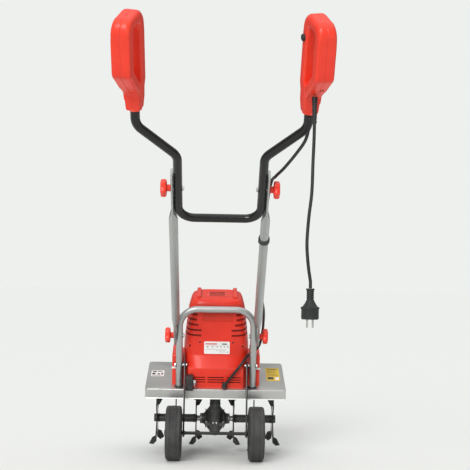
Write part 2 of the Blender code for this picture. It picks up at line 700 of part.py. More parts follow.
# ----------------------------------------------------------------- lower handle
def make_lower_tubes():
    """Round tubes pressed flat at both ends, where the clamp bolts go through."""
    run = UPPER_PIVOT - LOWER_PIVOT
    length = run.length
    along = run.normalized()
    over = Vector((0.0, along.z, -along.y))
    round_size = (LOWER_TUBE_RADIUS, LOWER_TUBE_RADIUS, 2.0)
    flat_size = (FLAT_HALF_THICKNESS, FLAT_HALF_WIDTH, 4.0)
    sections = (
        (-0.030, LOWER_FLAT_X, flat_size), (0.048, LOWER_FLAT_X, flat_size),
        (0.066, 0.1240, (0.0070, 0.0148, 2.6)), (0.088, 0.1215, round_size),
        (length - 0.118, 0.1210, round_size), (length - 0.096, 0.1220, (0.0070, 0.0148, 2.6)),
        (length - 0.080, UPPER_FLAT_X, flat_size), (length + 0.055, UPPER_FLAT_X, flat_size))
    for side_name, side in SIDES:
        rings = {0.0: [], TUBE_WALL: []}
        for distance, x, (half_x, half_w, power) in sections:
            for wall in rings:
                ring = []
                for a, b in oval(half_x - wall, half_w - wall, 12, power):
                    ring.append(LOWER_PIVOT + along * distance + over * b + Vector((side * x + a, 0.0, 0.0)))
                rings[wall].append(ring)
        outer, inner = rings.values()
        tube = place("lower_tube_" + side_name, skin(outer + inner[::-1], closed=True), SILVER, ROOT)
        for centre in (LOWER_PIVOT, UPPER_PIVOT):
            hole = turned([(-0.01, BOLT_HOLE_RADIUS), (0.01, BOLT_HOLE_RADIUS)], "X", 12)
            combine(tube, "DIFFERENCE", hole, centre + Vector((side * 0.124, 0.0, 0.0)))
        head = UPPER_ARM_X - UPPER_TUBE_RADIUS - CLEARANCE
        bolt("upper_bolt_" + side_name, side, head - 0.0045, head, 0.1360, ROOT, UPPER_PIVOT)


def knob_mesh(side):
    """A five-lobed clamp knob on a stem, with a blind hole for the bolt."""
    count = 15
    rings = []
    levels = ((0.0105, 0.0043, 0.0), (0.0, 0.0043, 0.0), (0.0, 0.0090, 0.0), (0.0090, 0.0085, 0.0),
              (0.0095, 0.0190, 0.10), (0.0125, 0.0212, 0.12), (0.0225, 0.0212, 0.12), (0.0255, 0.0185, 0.10))
    for x, radius, lobe in levels:
        ring = []
        for index in range(count):
            turn = 2.0 * math.pi * index / count
            reach = radius * (1.0 + lobe * math.cos(5.0 * turn))
            ring.append((side * x, reach * math.cos(turn), reach * math.sin(turn)))
        rings.append(ring)
    return skin(rings)


def make_knobs():
    for side_name, side in SIDES:
        lower_x = side * (LOWER_FLAT_X + FLAT_HALF_THICKNESS + CLEARANCE)
        upper_x = side * (UPPER_FLAT_X + FLAT_HALF_THICKNESS + CLEARANCE)
        place("lower_knob_" + side_name, knob_mesh(side), RED, ROOT, LOWER_PIVOT + Vector((lower_x, 0, 0)))
        place("upper_knob_" + side_name, knob_mesh(side), RED, ROOT, UPPER_PIVOT + Vector((upper_x, 0, 0)))


def make_motor_cable():
    """The lead from the switch to the motor, along the right tube."""
    route = (
        (0.2058, -0.8838, 0.9240), (0.2052, -0.8780, 0.9000), (0.1990, -0.8550, 0.8720),
        (0.1800, -0.8150, 0.8440), (0.1560, -0.7560, 0.8160), (0.1400, -0.7060, 0.8020),
        (0.1300, -0.6620, 0.7880), (0.1225, -0.5850, 0.7210), (0.1210, -0.5194, 0.6605),
        (0.1215, -0.4094, 0.5745), (0.1270, -0.3060, 0.5000), (0.1380, -0.2350, 0.4500),
        (0.1410, -0.1720, 0.4120), (0.1400, -0.1340, 0.3800), (0.1320, -0.1270, 0.3420),
        (0.1130, -0.1400, 0.3200), (0.0990, -0.1435, 0.3130), (0.0905, -0.1560, 0.3050),
        (0.0820, -0.1690, 0.2930), (0.0600, -0.1700, 0.2640), (0.0400, -0.1625, 0.2380),
        (0.0260, -0.1565, 0.2150))
    cable("motor_cable", route, MOTOR_CABLE_RADIUS, BLACK_PLASTIC, ROOT)


def make_cable_clip():
    """A band round the right tube and the motor lead."""
    run = (UPPER_PIVOT - LOWER_PIVOT).normalized()
    over = Vector((0.0, run.z, -run.y))
    centre = Vector((0.1210, -0.5300, 0.6468))
    rings = []
    for size, ends in ((0.0030, (-0.006, 0.006)), (0.0006, (0.006, -0.006))):
        for end in ends:
            ring = []
            for index in range(20):
                turn = 2.0 * math.pi * index / 20
                near_cable = max(0.0, math.sin(turn))
                a = (LOWER_TUBE_RADIUS + size) * math.cos(turn) * (1.0 - 0.30 * near_cable ** 3)
                b = (LOWER_TUBE_RADIUS + size) * math.sin(turn) + 0.0095 * near_cable
                ring.append(centre + run * end + over * b + Vector((a, 0.0, 0.0)))
            rings.append(ring)
    place("cable_clip", skin(rings, closed=True), BLACK_PLASTIC, ROOT)


# ----------------------------------------------------------------- upper handle
def mirrored(point):
    return Vector((-point.x, point.y, point.z))


def make_upper_tube():
    """One bent tube: a crossbar, two arms, and an outward crank up to each grip."""
    lean = Vector((0.0, -math.sin(GRIP_LEAN), math.cos(GRIP_LEAN)))
    foot = Vector((UPPER_ARM_X, CROSSBAR.y, CROSSBAR.z))
    half = [foot, FIRST_BEND, SECOND_BEND, GRIP_BASE + lean * 0.055]
    corners = [mirrored(point) for point in half[::-1]] + half
    tube = place("upper_tube", pipe(bent_path(corners, 0.042), UPPER_TUBE_RADIUS, TUBE_WALL), BLACK_PAINT, ROOT)
    for side_name, side in SIDES:
        hole = turned([(-0.02, BOLT_HOLE_RADIUS), (0.02, BOLT_HOLE_RADIUS)], "X", 12)
        combine(tube, "DIFFERENCE", hole, UPPER_PIVOT + Vector((side * UPPER_ARM_X, 0.0, 0.0)))


# Grip outlines: distance back towards the user, height along the grip, corner radius.
GRIP_OUTER = ((-0.0175, 0.0, 0.004), (0.0175, 0.0, 0.004), (0.023, 0.044, 0.012),
              (0.092, 0.112, 0.022), (0.093, 0.240, 0.032), (-0.0175, 0.246, 0.032))
GRIP_OPENING = ((0.0125, 0.085, 0.004), (0.0150, 0.077, 0.002), (0.026, 0.078, 0.005),
                (0.064, 0.120, 0.012), (0.065, 0.212, 0.016), (0.0125, 0.214, 0.016))


def grip_shell_mesh(facing):
    """Half of a loop grip: a hollow C section swept round the opening."""
    outer = rounded(GRIP_OUTER)
    opening = rounded(GRIP_OPENING)
    rings = []
    for rim, hole in zip(outer, opening):
        rim = Vector(rim)
        across = Vector(hole) - rim
        width = across.length
        across = across.normalized()
        high = GRIP_HALF_THICKNESS
        section = [(0.0, 0.0), (0.0, 0.012), (0.008, high), (width - 0.008, high), (width, 0.012),
                   (width, 0.0), (width - 0.003, 0.0), (width - 0.003, 0.011), (width - 0.009, high - 0.003),
                   (0.009, high - 0.003), (0.003, 0.011), (0.003, 0.0)]
        ring = []
        for inward, height in section:
            point = rim + across * inward
            narrowing = 0.78 + 0.22 * max(0.0, min(1.0, (point.y - 0.036) / 0.016))
            x = facing * (CLEARANCE / 2.0 + height * narrowing)
            ring.append((x, -point.x, point.y))
        rings.append(ring)
    return skin(rings, closed=True)


def grip_frame(side_name, side):
    base = Vector((side * GRIP_BASE.x, GRIP_BASE.y, GRIP_BASE.z))
    return empty("grip_" + side_name, base, (GRIP_LEAN, 0.0, side * GRIP_TOE_OUT), ROOT)


BUTTON_PLACE = (-0.0025, 0.185)


def make_grips():
    for side_name, side in SIDES:
        frame = grip_frame(side_name, side)
        for half_name, facing in (("inner", -side), ("outer", side)):
            shell = place("grip_%s_%s" % (side_name, half_name), grip_shell_mesh(facing), RED, frame)
            socket = turned([(-0.02, 0.0117), (0.066, 0.0117)], "Z")
            combine(shell, "DIFFERENCE", socket)
            if side_name == "right":
                slot = block((-0.0085, -0.0665, 0.200), (0.0085, -0.0450, 0.233))
                combine(shell, "DIFFERENCE", slot)
                if half_name == "inner":
                    window = turned([(-0.035, 0.0090), (-0.010, 0.0090)], "X", 16)
                    combine(shell, "DIFFERENCE", window, (0.0, -BUTTON_PLACE[0], BUTTON_PLACE[1]))
        if side_name == "right":
            make_switch_parts(frame)


def make_switch_parts(frame):
    lever = rounded([(0.049, 0.130, 0.003), (0.0575, 0.130, 0.003), (0.0605, 0.200, 0.003),
                     (0.0605, 0.2265, 0.004), (0.0505, 0.2265, 0.004), (0.049, 0.200, 0.003)], 2)
    sides = [[(x, -u, v) for u, v in lever] for x in (-0.0070, 0.0070)]
    place("switch_lever", skin(sides), BLACK_PLASTIC, frame)
    button = [(-0.0290, 0.0070), (-0.0275, 0.0085), (-0.0140, 0.0085)]
    place("lock_off_button", turned(button, "X", 16), BLACK_PLASTIC, frame,
          (0.0, -BUTTON_PLACE[0], BUTTON_PLACE[1]))


# ----------------------------------------------------------- mains cord and plug
RELIEF_TOP = Vector((0.2125, -0.9385, 0.9620))
RELIEF_LENGTH = 0.062
PLUG_TOP = Vector((0.2076, -0.9450, 0.5215))


def make_mains_cord():
    relief = [(0.0, 0.0068), (-0.012, 0.0066), (-RELIEF_LENGTH, 0.0052)]
    place("strain_relief", turned(relief, "Z", 12), BLACK_PLASTIC, ROOT, RELIEF_TOP)
    start = RELIEF_TOP.z - RELIEF_LENGTH - CLEARANCE
    route = (
        (0.2125, -0.9385, start), (0.2118, -0.9400, 0.8600), (0.2100, -0.9420, 0.8100),
        (0.2080, -0.9440, 0.7400), (0.2020, -0.9450, 0.6850), (0.1985, -0.9450, 0.6300),
        (0.1998, -0.9450, 0.5960), (0.2035, -0.9450, 0.5620), (0.2076, -0.9450, 0.5370),
        (0.2076, -0.9450, PLUG_TOP.z + CLEARANCE))
    cable("mains_cord", route, MAINS_CORD_RADIUS, CORD_GREY, ROOT)
    body = [(0.0, 0.0095), (-0.003, 0.0100), (-0.005, 0.0078), (-0.026, 0.0085), (-0.040, 0.0165),
            (-0.0435, 0.0215), (-0.0465, 0.0215), (-0.0475, 0.0205), (-0.068, 0.0205), (-0.0705, 0.0185)]
    plug = place("plug", turned(body, "Z", 20), CORD_GREY, ROOT, PLUG_TOP)
    for side in (-1, 1):
        pin = turned([(-0.0900, 0.0016), (-0.0885, 0.0024), (-0.0690, 0.0024)], "Z", 8)
        combine(plug, "UNION", pin, PLUG_TOP + Vector((side * 0.0065, 0.0, 0.0)))


make_guard()
make_gearbox_half("gearbox_upper_case", True)
make_gearbox_half("gearbox_lower_case", False)
for cap_side, cap_sign in SIDES:
    make_bearing_cap(cap_side, cap_sign)
make_armature_shaft()
make_motor_inside()
make_tines()
make_motor_base()
make_motor_covers()
make_top_cap()
make_arch()
make_chassis_bolts()
make_wheel_bracket()
make_wheels()
make_lock()
make_lower_tubes()
make_knobs()
make_cable_clip()
make_motor_cable()
make_upper_tube()
make_grips()
make_mains_cord()
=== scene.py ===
import math

import bmesh
import bpy
from mathutils import Matrix, Vector


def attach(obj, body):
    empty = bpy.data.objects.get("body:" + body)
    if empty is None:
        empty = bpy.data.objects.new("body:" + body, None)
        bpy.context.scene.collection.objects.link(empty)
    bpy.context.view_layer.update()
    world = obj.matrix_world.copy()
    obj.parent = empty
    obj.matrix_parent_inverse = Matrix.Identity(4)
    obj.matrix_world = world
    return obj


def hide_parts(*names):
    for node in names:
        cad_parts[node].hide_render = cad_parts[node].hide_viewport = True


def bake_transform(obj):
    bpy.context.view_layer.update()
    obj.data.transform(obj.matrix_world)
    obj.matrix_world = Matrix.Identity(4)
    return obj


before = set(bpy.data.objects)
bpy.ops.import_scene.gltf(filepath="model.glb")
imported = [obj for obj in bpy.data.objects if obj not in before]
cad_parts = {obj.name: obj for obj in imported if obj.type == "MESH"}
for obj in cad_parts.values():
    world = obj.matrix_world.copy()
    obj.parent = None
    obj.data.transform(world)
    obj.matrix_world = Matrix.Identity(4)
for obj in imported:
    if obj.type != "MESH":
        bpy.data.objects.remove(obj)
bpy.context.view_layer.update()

# ---------------------------------------------------------------- the studio
# A pale floor that runs to the horizon, an even pale sky, and two large soft lights.
# The lights sit behind the user's left shoulder and overhead.
studio = bpy.context.scene
studio.view_settings.view_transform = "Standard"


def studio_sky():
    """Pale for the background; dimmer at the sides than overhead for what it lights."""
    world = bpy.data.worlds.new("studio_sky")
    world.use_nodes = True
    nodes, links = world.node_tree.nodes, world.node_tree.links
    nodes.clear()
    coords = nodes.new("ShaderNodeTexCoord")
    split = nodes.new("ShaderNodeSeparateXYZ")
    links.new(coords.outputs["Generated"], split.inputs[0])
    ramp = nodes.new("ShaderNodeValToRGB")
    ramp.color_ramp.elements[0].position = 0.05
    ramp.color_ramp.elements[0].color = (0.10, 0.103, 0.103, 1.0)
    ramp.color_ramp.elements[1].position = 0.85
    ramp.color_ramp.elements[1].color = (0.66, 0.665, 0.66, 1.0)
    links.new(split.outputs["Z"], ramp.inputs[0])
    light = nodes.new("ShaderNodeBackground")
    links.new(ramp.outputs[0], light.inputs["Color"])
    seen = nodes.new("ShaderNodeBackground")
    seen.inputs["Color"].default_value = (0.850, 0.872, 0.850, 1.0)
    path = nodes.new("ShaderNodeLightPath")
    mix = nodes.new("ShaderNodeMixShader")
    links.new(path.outputs["Is Camera Ray"], mix.inputs[0])
    links.new(light.outputs[0], mix.inputs[1])
    links.new(seen.outputs[0], mix.inputs[2])
    out = nodes.new("ShaderNodeOutputWorld")
    links.new(mix.outputs[0], out.inputs["Surface"])
    return world


studio.world = studio_sky()


def soft_sun(name, toward, strength, spread):
    lamp = bpy.data.lights.new(name, "SUN")
    lamp.energy = strength
    lamp.angle = math.radians(spread)
    made = bpy.data.objects.new(name, lamp)
    bpy.context.collection.objects.link(made)
    made.rotation_euler = Vector(toward).to_track_quat("-Z", "Y").to_euler()
    return made


soft_sun("shoulder_light", (0.32, 0.85, -0.44), 2.30, 30.0)
soft_sun("overhead_light", (-0.10, 0.10, -1.0), 0.80, 75.0)

floor_shape = bmesh.new()
bmesh.ops.create_grid(floor_shape, x_segments=8, y_segments=8, size=60.0)
floor_mesh = bpy.data.meshes.new("studio_floor")
floor_shape.to_mesh(floor_mesh)
floor_shape.free()
studio_floor = bpy.data.objects.new("studio_floor", floor_mesh)
bpy.context.collection.objects.link(studio_floor)
floor_paint = bpy.data.materials.new("floor_paint")
floor_paint.use_nodes = True
floor_paint.node_tree.nodes["Principled BSDF"].inputs["Base Color"].default_value = (0.80, 0.81, 0.79, 1.0)
floor_paint.node_tree.nodes["Principled BSDF"].inputs["Roughness"].default_value = 0.9
floor_paint.node_tree.nodes["Principled BSDF"].inputs["Specular IOR Level"].default_value = 0.1
floor_mesh.materials.append(floor_paint)

CAMERA_YAW = 0.0216
CAMERA_PITCH = -0.046
CAMERA_ROLL = 0.0171
ahead = Vector((math.sin(CAMERA_YAW) * math.cos(CAMERA_PITCH),
                math.cos(CAMERA_YAW) * math.cos(CAMERA_PITCH), -math.sin(CAMERA_PITCH)))
level = Vector((math.cos(CAMERA_YAW), -math.sin(CAMERA_YAW), 0.0))
rise = level.cross(ahead)
camera_right = math.cos(CAMERA_ROLL) * level + math.sin(CAMERA_ROLL) * rise
camera_up = math.cos(CAMERA_ROLL) * rise - math.sin(CAMERA_ROLL) * level
camera_data = bpy.data.cameras.new("studio_camera")
camera_data.sensor_width = 36.0
camera_data.lens = 78.39
camera_data.clip_end = 200.0
studio_camera = bpy.data.objects.new("studio_camera", camera_data)
bpy.context.collection.objects.link(studio_camera)
turn_of_camera = Matrix((camera_right, camera_up, -ahead)).transposed().to_4x4()
studio_camera.matrix_world = Matrix.Translation((-0.0165, -2.79015, 0.533)) @ turn_of_camera
studio.camera = studio_camera


# ------------------------------------------------------- mains cord and plug
# A short dark rubber-sheathed lead that hangs from a ribbed gland under the right
# grip and ends in a moulded two-pin plug. Drawn sheath, injection-moulded fittings.
SHAFT_TO_MIDDLE = 0.48475       # the tine shaft's place in front of the machine's middle


def in_frame(x, y, z):
    return Vector((x, y + SHAFT_TO_MIDDLE, z))


def finish(name, dark, light, rough, metallic=0.0, mottle=16.0, grain=1400.0, depth=0.05,
           coat=0.0, edge_wear_and_sheen=None, edge_wear_and_sheen_from=0.53, streak=(1.0, 1.0, 1.0)):
    """A surface: two close shades in soft patches, uneven gloss, fine grain, and a set colour on sharp edges:
    rubbed wear on most finishes, a painted sheen on the red housing.
    """
    made = bpy.data.materials.new(name)
    made.use_nodes = True
    nodes, links = made.node_tree.nodes, made.node_tree.links
    shader = nodes["Principled BSDF"]
    shader.inputs["Metallic"].default_value = metallic
    shader.inputs["Coat Weight"].default_value = coat
    shader.inputs["Coat Roughness"].default_value = 0.08
    shader.inputs["Specular IOR Level"].default_value = 0.5 if metallic > 0.0 or coat > 0.2 else 0.3
    coords = nodes.new("ShaderNodeTexCoord")
    stretch = nodes.new("ShaderNodeMapping")
    stretch.inputs["Scale"].default_value = streak
    links.new(coords.outputs["Object"], stretch.inputs["Vector"])
    patches = nodes.new("ShaderNodeTexNoise")
    patches.inputs["Scale"].default_value = mottle
    patches.inputs["Detail"].default_value = 5.0
    links.new(stretch.outputs[0], patches.inputs["Vector"])
    shades = nodes.new("ShaderNodeValToRGB")
    shades.color_ramp.elements[0].position = 0.32
    shades.color_ramp.elements[0].color = (*dark, 1.0)
    shades.color_ramp.elements[1].position = 0.68
    shades.color_ramp.elements[1].color = (*light, 1.0)
    links.new(patches.outputs["Fac"], shades.inputs["Fac"])
    colour = shades.outputs["Color"]
    # Sharp edges take the set edge colour: wear on most finishes, a painted sheen on the red housing.
    if edge_wear_and_sheen is not None:
        edge = nodes.new("ShaderNodeNewGeometry")
        rub_and_sheen = nodes.new("ShaderNodeMapRange")
        rub_and_sheen.inputs["From Min"].default_value = edge_wear_and_sheen_from
        rub_and_sheen.inputs["From Max"].default_value = edge_wear_and_sheen_from + 0.09
        rub_and_sheen.inputs["To Max"].default_value = 0.75
        links.new(edge.outputs["Pointiness"], rub_and_sheen.inputs["Value"])
        blend = nodes.new("ShaderNodeMix")
        blend.data_type = "RGBA"
        links.new(rub_and_sheen.outputs["Result"], blend.inputs["Factor"])
        links.new(colour, blend.inputs["A"])
        blend.inputs["B"].default_value = (*edge_wear_and_sheen, 1.0)
        colour = blend.outputs["Result"]
    links.new(colour, shader.inputs["Base Color"])
    smears = nodes.new("ShaderNodeTexNoise")
    smears.inputs["Scale"].default_value = mottle * 6.0
    smears.inputs["Detail"].default_value = 3.0
    links.new(stretch.outputs[0], smears.inputs["Vector"])
    gloss = nodes.new("ShaderNodeMapRange")
    gloss.inputs["To Min"].default_value = max(0.02, rough - 0.04)
    gloss.inputs["To Max"].default_value = rough + 0.04
    links.new(smears.outputs["Fac"], gloss.inputs["Value"])
    links.new(gloss.outputs["Result"], shader.inputs["Roughness"])
    pores = nodes.new("ShaderNodeTexNoise")
    pores.inputs["Scale"].default_value = grain
    pores.inputs["Detail"].default_value = 2.0
    links.new(coords.outputs["Object"], pores.inputs["Vector"])
    bump = nodes.new("ShaderNodeBump")
    bump.inputs["Strength"].default_value = depth
    bump.inputs["Distance"].default_value = 0.0006
    links.new(pores.outputs["Fac"], bump.inputs["Height"])
    links.new(bump.outputs["Normal"], shader.inputs["Normal"])
    return made


CORD_SHEATH = finish("cord_sheath", (0.018, 0.019, 0.020), (0.030, 0.031, 0.031), 0.52, grain=900.0,
                     depth=0.12)
BLACK_MOULDING = finish("black_moulding", (0.016, 0.016, 0.017), (0.030, 0.030, 0.031), 0.42,
                        grain=1800.0, depth=0.14, edge_wear_and_sheen=(0.075, 0.075, 0.078))


def smooth_route(points, spacing):
    """A smooth line through the points, read at even steps."""
    knots = [points[0] * 2 - points[1]] + points + [points[-1] * 2 - points[-2]]
    route = []
    for a, b, c, d in zip(knots, knots[1:], knots[2:], knots[3:]):
        steps = max(1, round((c - b).length / spacing))
        for step in range(steps):
            t = step / steps
            cubic = (3 * b - a - 3 * c + d) * t ** 3
            square = (2 * a - 5 * b + 4 * c - d) * t ** 2
            route.append((2 * b + (c - a) * t + square + cubic) / 2)
    route.append(points[-1])
    return route


RELIEF_TOP = in_frame(0.2125, -0.9385, 0.9620)
PLUG_TOP = in_frame(0.2076, -0.9450, 0.5215)
CORD_RADIUS = 0.0038
cord_points = [in_frame(*point) for point in (
    (0.2125, -0.9385, 0.8997), (0.2118, -0.9400, 0.8600), (0.2100, -0.9420, 0.8100),
    (0.2080, -0.9440, 0.7400), (0.2020, -0.9450, 0.6850), (0.1985, -0.9450, 0.6300),
    (0.1998, -0.9450, 0.5960), (0.2035, -0.9450, 0.5620), (0.2076, -0.9450, 0.5370),
    (0.2076, -0.9450, 0.5218))]
cord_route = smooth_route(cord_points, 0.0125)
cord_curve = bpy.data.curves.new("mains_lead", "CURVE")
cord_curve.dimensions = "3D"
cord_curve.bevel_depth = CORD_RADIUS
cord_curve.bevel_resolution = 5
cord_curve.use_fill_caps = True
cord_line = cord_curve.splines.new("POLY")
cord_line.points.add(len(cord_route) - 1)
for knot, point in zip(cord_line.points, cord_route):
    knot.co = (*point, 1.0)
mains_lead = bpy.data.objects.new("mains_lead", cord_curve)
bpy.context.collection.objects.link(mains_lead)
cord_curve.materials.append(CORD_SHEATH)
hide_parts("mains_cord")
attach(mains_lead, "upper_handle")

ALONG_X = Matrix.Rotation(math.radians(90.0), 4, "Y")
AGAINST_X = Matrix.Rotation(math.radians(-90.0), 4, "Y")


def turn_profile(shape, profile, place, steps=48, look=0):
    """Spins a (distance along, radius) profile round its axis, then moves it to its place."""
    before = set(shape.verts)
    corners = [shape.verts.new((radius, 0.0, along)) for along, radius in profile]
    edges = [shape.edges.new(pair) for pair in zip(corners, corners[1:])]
    bmesh.ops.spin(shape, geom=corners + edges, cent=(0.0, 0.0, 0.0), axis=(0.0, 0.0, 1.0),
                   angle=math.tau, steps=steps, use_merge=True, use_duplicate=False)
    fresh = [vert for vert in shape.verts if vert not in before]
    for vert in fresh:
        for face in vert.link_faces:
            face.material_index = look
    bmesh.ops.transform(shape, matrix=place, verts=fresh)
    return fresh


def add_block(shape, low, high, soften=0.0, look=0, segments=2):
    """A block between two corners, with its edges softened."""
    low, high = Vector(low), Vector(high)
    size = Matrix.Diagonal((*(high - low), 1.0))
    made = bmesh.ops.create_cube(shape, size=1.0,
                                 matrix=Matrix.Translation((low + high) / 2.0) @ size)["verts"]
    if soften:
        edges = {edge for vert in made for edge in vert.link_edges}
        made = bmesh.ops.bevel(shape, geom=list(edges), offset=soften, offset_type="OFFSET", affect="EDGES",
                               segments=segments, profile=0.5, material=-1)["verts"]
    for vert in made:
        for face in vert.link_faces:
            face.material_index = look
    return made


def fit_piece(name, shape, looks, body, nodes, place=None, crisp=32.0, wall=0.0):
    """Closes a shape, puts it on the machine and hands it to the body that carries it."""
    if place is not None:
        bmesh.ops.transform(shape, matrix=place, verts=shape.verts)
    bmesh.ops.remove_doubles(shape, verts=shape.verts, dist=1e-6)
    bmesh.ops.recalc_face_normals(shape, faces=shape.faces)
    if wall:
        bmesh.ops.solidify(shape, geom=shape.faces, thickness=wall)
    mesh = bpy.data.meshes.new(name)
    shape.to_mesh(mesh)
    shape.free()
    mesh.shade_smooth()
    mesh.set_sharp_from_angle(angle=math.radians(crisp))
    for look in looks:
        mesh.materials.append(look)
    piece = bpy.data.objects.new(name, mesh)
    bpy.context.collection.objects.link(piece)
    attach(piece, body)
    if nodes:
        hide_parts(*nodes)
    return piece


gland = bmesh.new()
ribs = [(0.0, 0.0), (0.0, 0.0066), (-0.0015, 0.0069), (-0.0090, 0.0067)]
for number in range(9):
    top = -0.011 - 0.0048 * number
    wide = 0.0065 - 0.00012 * number
    ribs += [(top, wide), (top - 0.0026, wide), (top - 0.0030, wide - 0.0013), (top - 0.0045, wide - 0.0013)]
ribs += [(-0.0560, 0.0054), (-0.0612, 0.0050), (-0.0618, 0.0044), (-0.0618, 0.0)]
turn_profile(gland, ribs, Matrix.Translation(RELIEF_TOP), 32)
fit_piece("cord_gland", gland, [BLACK_MOULDING], "upper_handle", ["strain_relief"])

plug_shape = bmesh.new()
neck = [(0.0, 0.0), (0.0, 0.0090), (-0.0012, 0.0098), (-0.0035, 0.0098), (-0.0050, 0.0078)]
for number in range(4):
    top = -0.0062 - 0.0048 * number
    neck += [(top, 0.0086), (top - 0.0024, 0.0087), (top - 0.0030, 0.0076), (top - 0.0042, 0.0076)]
body_of_plug = neck + [
    (-0.0265, 0.0088), (-0.0320, 0.0112), (-0.0380, 0.0150), (-0.0410, 0.0172), (-0.0425, 0.0206),
    (-0.0435, 0.0214), (-0.0460, 0.0214), (-0.0470, 0.0206), (-0.0480, 0.0200), (-0.0660, 0.0202),
    (-0.0690, 0.0197), (-0.0704, 0.0182), (-0.0704, 0.0)]
turn_profile(plug_shape, body_of_plug, Matrix.Translation(PLUG_TOP), 48)
for side in (-1, 1):
    pin = [(-0.0690, 0.0), (-0.0690, 0.0030), (-0.0712, 0.0030), (-0.0716, 0.0024), (-0.0880, 0.0024),
           (-0.0893, 0.0019), (-0.0899, 0.0010), (-0.0899, 0.0)]
    turn_profile(plug_shape, pin, Matrix.Translation(PLUG_TOP + Vector((side * 0.0065, 0.0, 0.0))), 20,
                 look=1)
BRIGHT_STEEL = finish("bright_steel", (0.46, 0.46, 0.45), (0.66, 0.66, 0.65), 0.26, metallic=1.0,
                      mottle=60.0, grain=2600.0, depth=0.06)
mains_plug = fit_piece("mains_plug", plug_shape, [CORD_SHEATH, BRIGHT_STEEL], "upper_handle", ["plug"])

# --------------------------------------------------- motor cable and its clip
# The black lead from the switch to the motor, loose at both folding joints and held
# in the middle by a snap-on clip on the right tube. Extruded sheath, moulded clip.
CABLE_RADIUS = 0.004


def draw_through(shape, sections, look=0, caps=True):
    """Extrudes a ring of points through each section in turn, and closes both ends."""
    count = len(sections[0])
    ring = bmesh.ops.create_circle(shape, segments=count, radius=1.0)["verts"]
    edges = list({edge for vert in ring for edge in vert.link_edges})
    for vert, point in zip(ring, sections[0]):
        vert.co = point
    faces = [shape.faces.new(ring)] if caps else []
    order = {vert: index for index, vert in enumerate(ring)}
    for section in sections[1:]:
        grown = bmesh.ops.extrude_edge_only(shape, edges=edges)["geom"]
        after = {}
        for vert in (item for item in grown if isinstance(item, bmesh.types.BMVert)):
            for edge in vert.link_edges:
                index = order.get(edge.other_vert(vert))
                if index is not None:
                    after[vert] = index
                    vert.co = section[index]
        faces += [item for item in grown if isinstance(item, bmesh.types.BMFace)]
        edges = [item for item in grown if isinstance(item, bmesh.types.BMEdge)
                 and item.verts[0] in after and item.verts[1] in after]
        order = after
    if caps:
        faces.append(shape.faces.new(sorted(order, key=order.get)))
    for face in faces:
        face.material_index = look
    return faces


def hose_sections(route, radius, count):
    """Round sections square to a route, carried along it without twist."""
    sections = []
    across = None
    for index, point in enumerate(route):
        before = route[max(0, index - 1)]
        after = route[min(len(route) - 1, index + 1)]
        along = (after - before).normalized()
        if across is None:
            across = along.orthogonal().normalized()
        across = (across - along * across.dot(along)).normalized()
        other = along.cross(across)
        sections.append([point + radius * (across * math.cos(math.tau * step / count)
                                           + other * math.sin(math.tau * step / count)) for step in range(count)])
    return sections


CABLE_JACKET = finish("cable_jacket", (0.014, 0.014, 0.015), (0.026, 0.026, 0.027), 0.40, grain=700.0,
                      depth=0.08)
upper_points = [in_frame(*point) for point in (
    (0.2058, -0.8838, 0.9240), (0.2052, -0.8780, 0.9000), (0.1990, -0.8550, 0.8720),
    (0.1800, -0.8150, 0.8440), (0.1560, -0.7560, 0.8160), (0.1400, -0.7060, 0.8020),
    (0.1300, -0.6620, 0.7880), (0.1225, -0.5850, 0.7210), (0.1210, -0.5194, 0.6605))]
lower_points = [in_frame(*point) for point in (
    (0.1210, -0.5194, 0.6605), (0.1215, -0.4094, 0.5745), (0.1270, -0.3060, 0.5000),
    (0.1380, -0.2350, 0.4500), (0.1410, -0.1720, 0.4120), (0.1400, -0.1340, 0.3800),
    (0.1320, -0.1270, 0.3420), (0.1130, -0.1400, 0.3200), (0.0990, -0.1435, 0.3130),
    (0.0905, -0.1560, 0.3050), (0.0820, -0.1690, 0.2930), (0.0600, -0.1700, 0.2640),
    (0.0400, -0.1625, 0.2380), (0.0260, -0.1565, 0.2150))]
for name, points, first, second, start, end in (
        ("switch_lead_upper", upper_points[::-1], "lower_handle", "upper_handle",
         in_frame(0.1225, -0.585, 0.721), in_frame(0.1800, -0.815, 0.844)),
        ("switch_lead_lower", lower_points[::-1], "chassis", "lower_handle",
         in_frame(0.1000, -0.145, 0.315), in_frame(0.1300, -0.290, 0.490))):
    lead_shape = bmesh.new()
    draw_through(lead_shape, hose_sections(smooth_route(points, 0.0060), CABLE_RADIUS, 16))
    bmesh.ops.recalc_face_normals(lead_shape, faces=lead_shape.faces)
    lead_mesh = bpy.data.meshes.new(name)
    lead_shape.to_mesh(lead_mesh)
    lead_shape.free()
    lead_mesh.shade_smooth()
    lead_mesh.materials.append(CABLE_JACKET)
    lead = bpy.data.objects.new(name, lead_mesh)
    bpy.context.collection.objects.link(lead)
    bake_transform(lead)
    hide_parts("motor_cable")

LOWER_PIVOT = in_frame(0.0, -0.1783, 0.3704)
UPPER_PIVOT = in_frame(0.0, -0.6849, 0.7688)
tube_run = (UPPER_PIVOT - LOWER_PIVOT).normalized()
tube_over = Vector((0.0, tube_run.z, -tube_run.y))
clip_centre = in_frame(0.1210, -0.5300, 0.6468)
clip = bmesh.new()
clip_rings = []
for size, end in ((0.0022, -0.0062), (0.0032, -0.0052), (0.0032, 0.0052), (0.0022, 0.0062),
                  (0.0004, 0.0062), (0.0004, -0.0062), (0.0022, -0.0062)):
    ring = []
    for index in range(56):
        turn = math.tau * index / 56
        near_cable = max(0.0, math.sin(turn))
        a = (0.012 + size) * math.cos(turn) * (1.0 - 0.30 * near_cable ** 3)
        b = (0.012 + size) * math.sin(turn) + 0.0095 * near_cable
        ring.append(clip_centre + tube_run * end + tube_over * b + Vector((a, 0.0, 0.0)))
    clip_rings.append(ring)
draw_through(clip, clip_rings, caps=False)
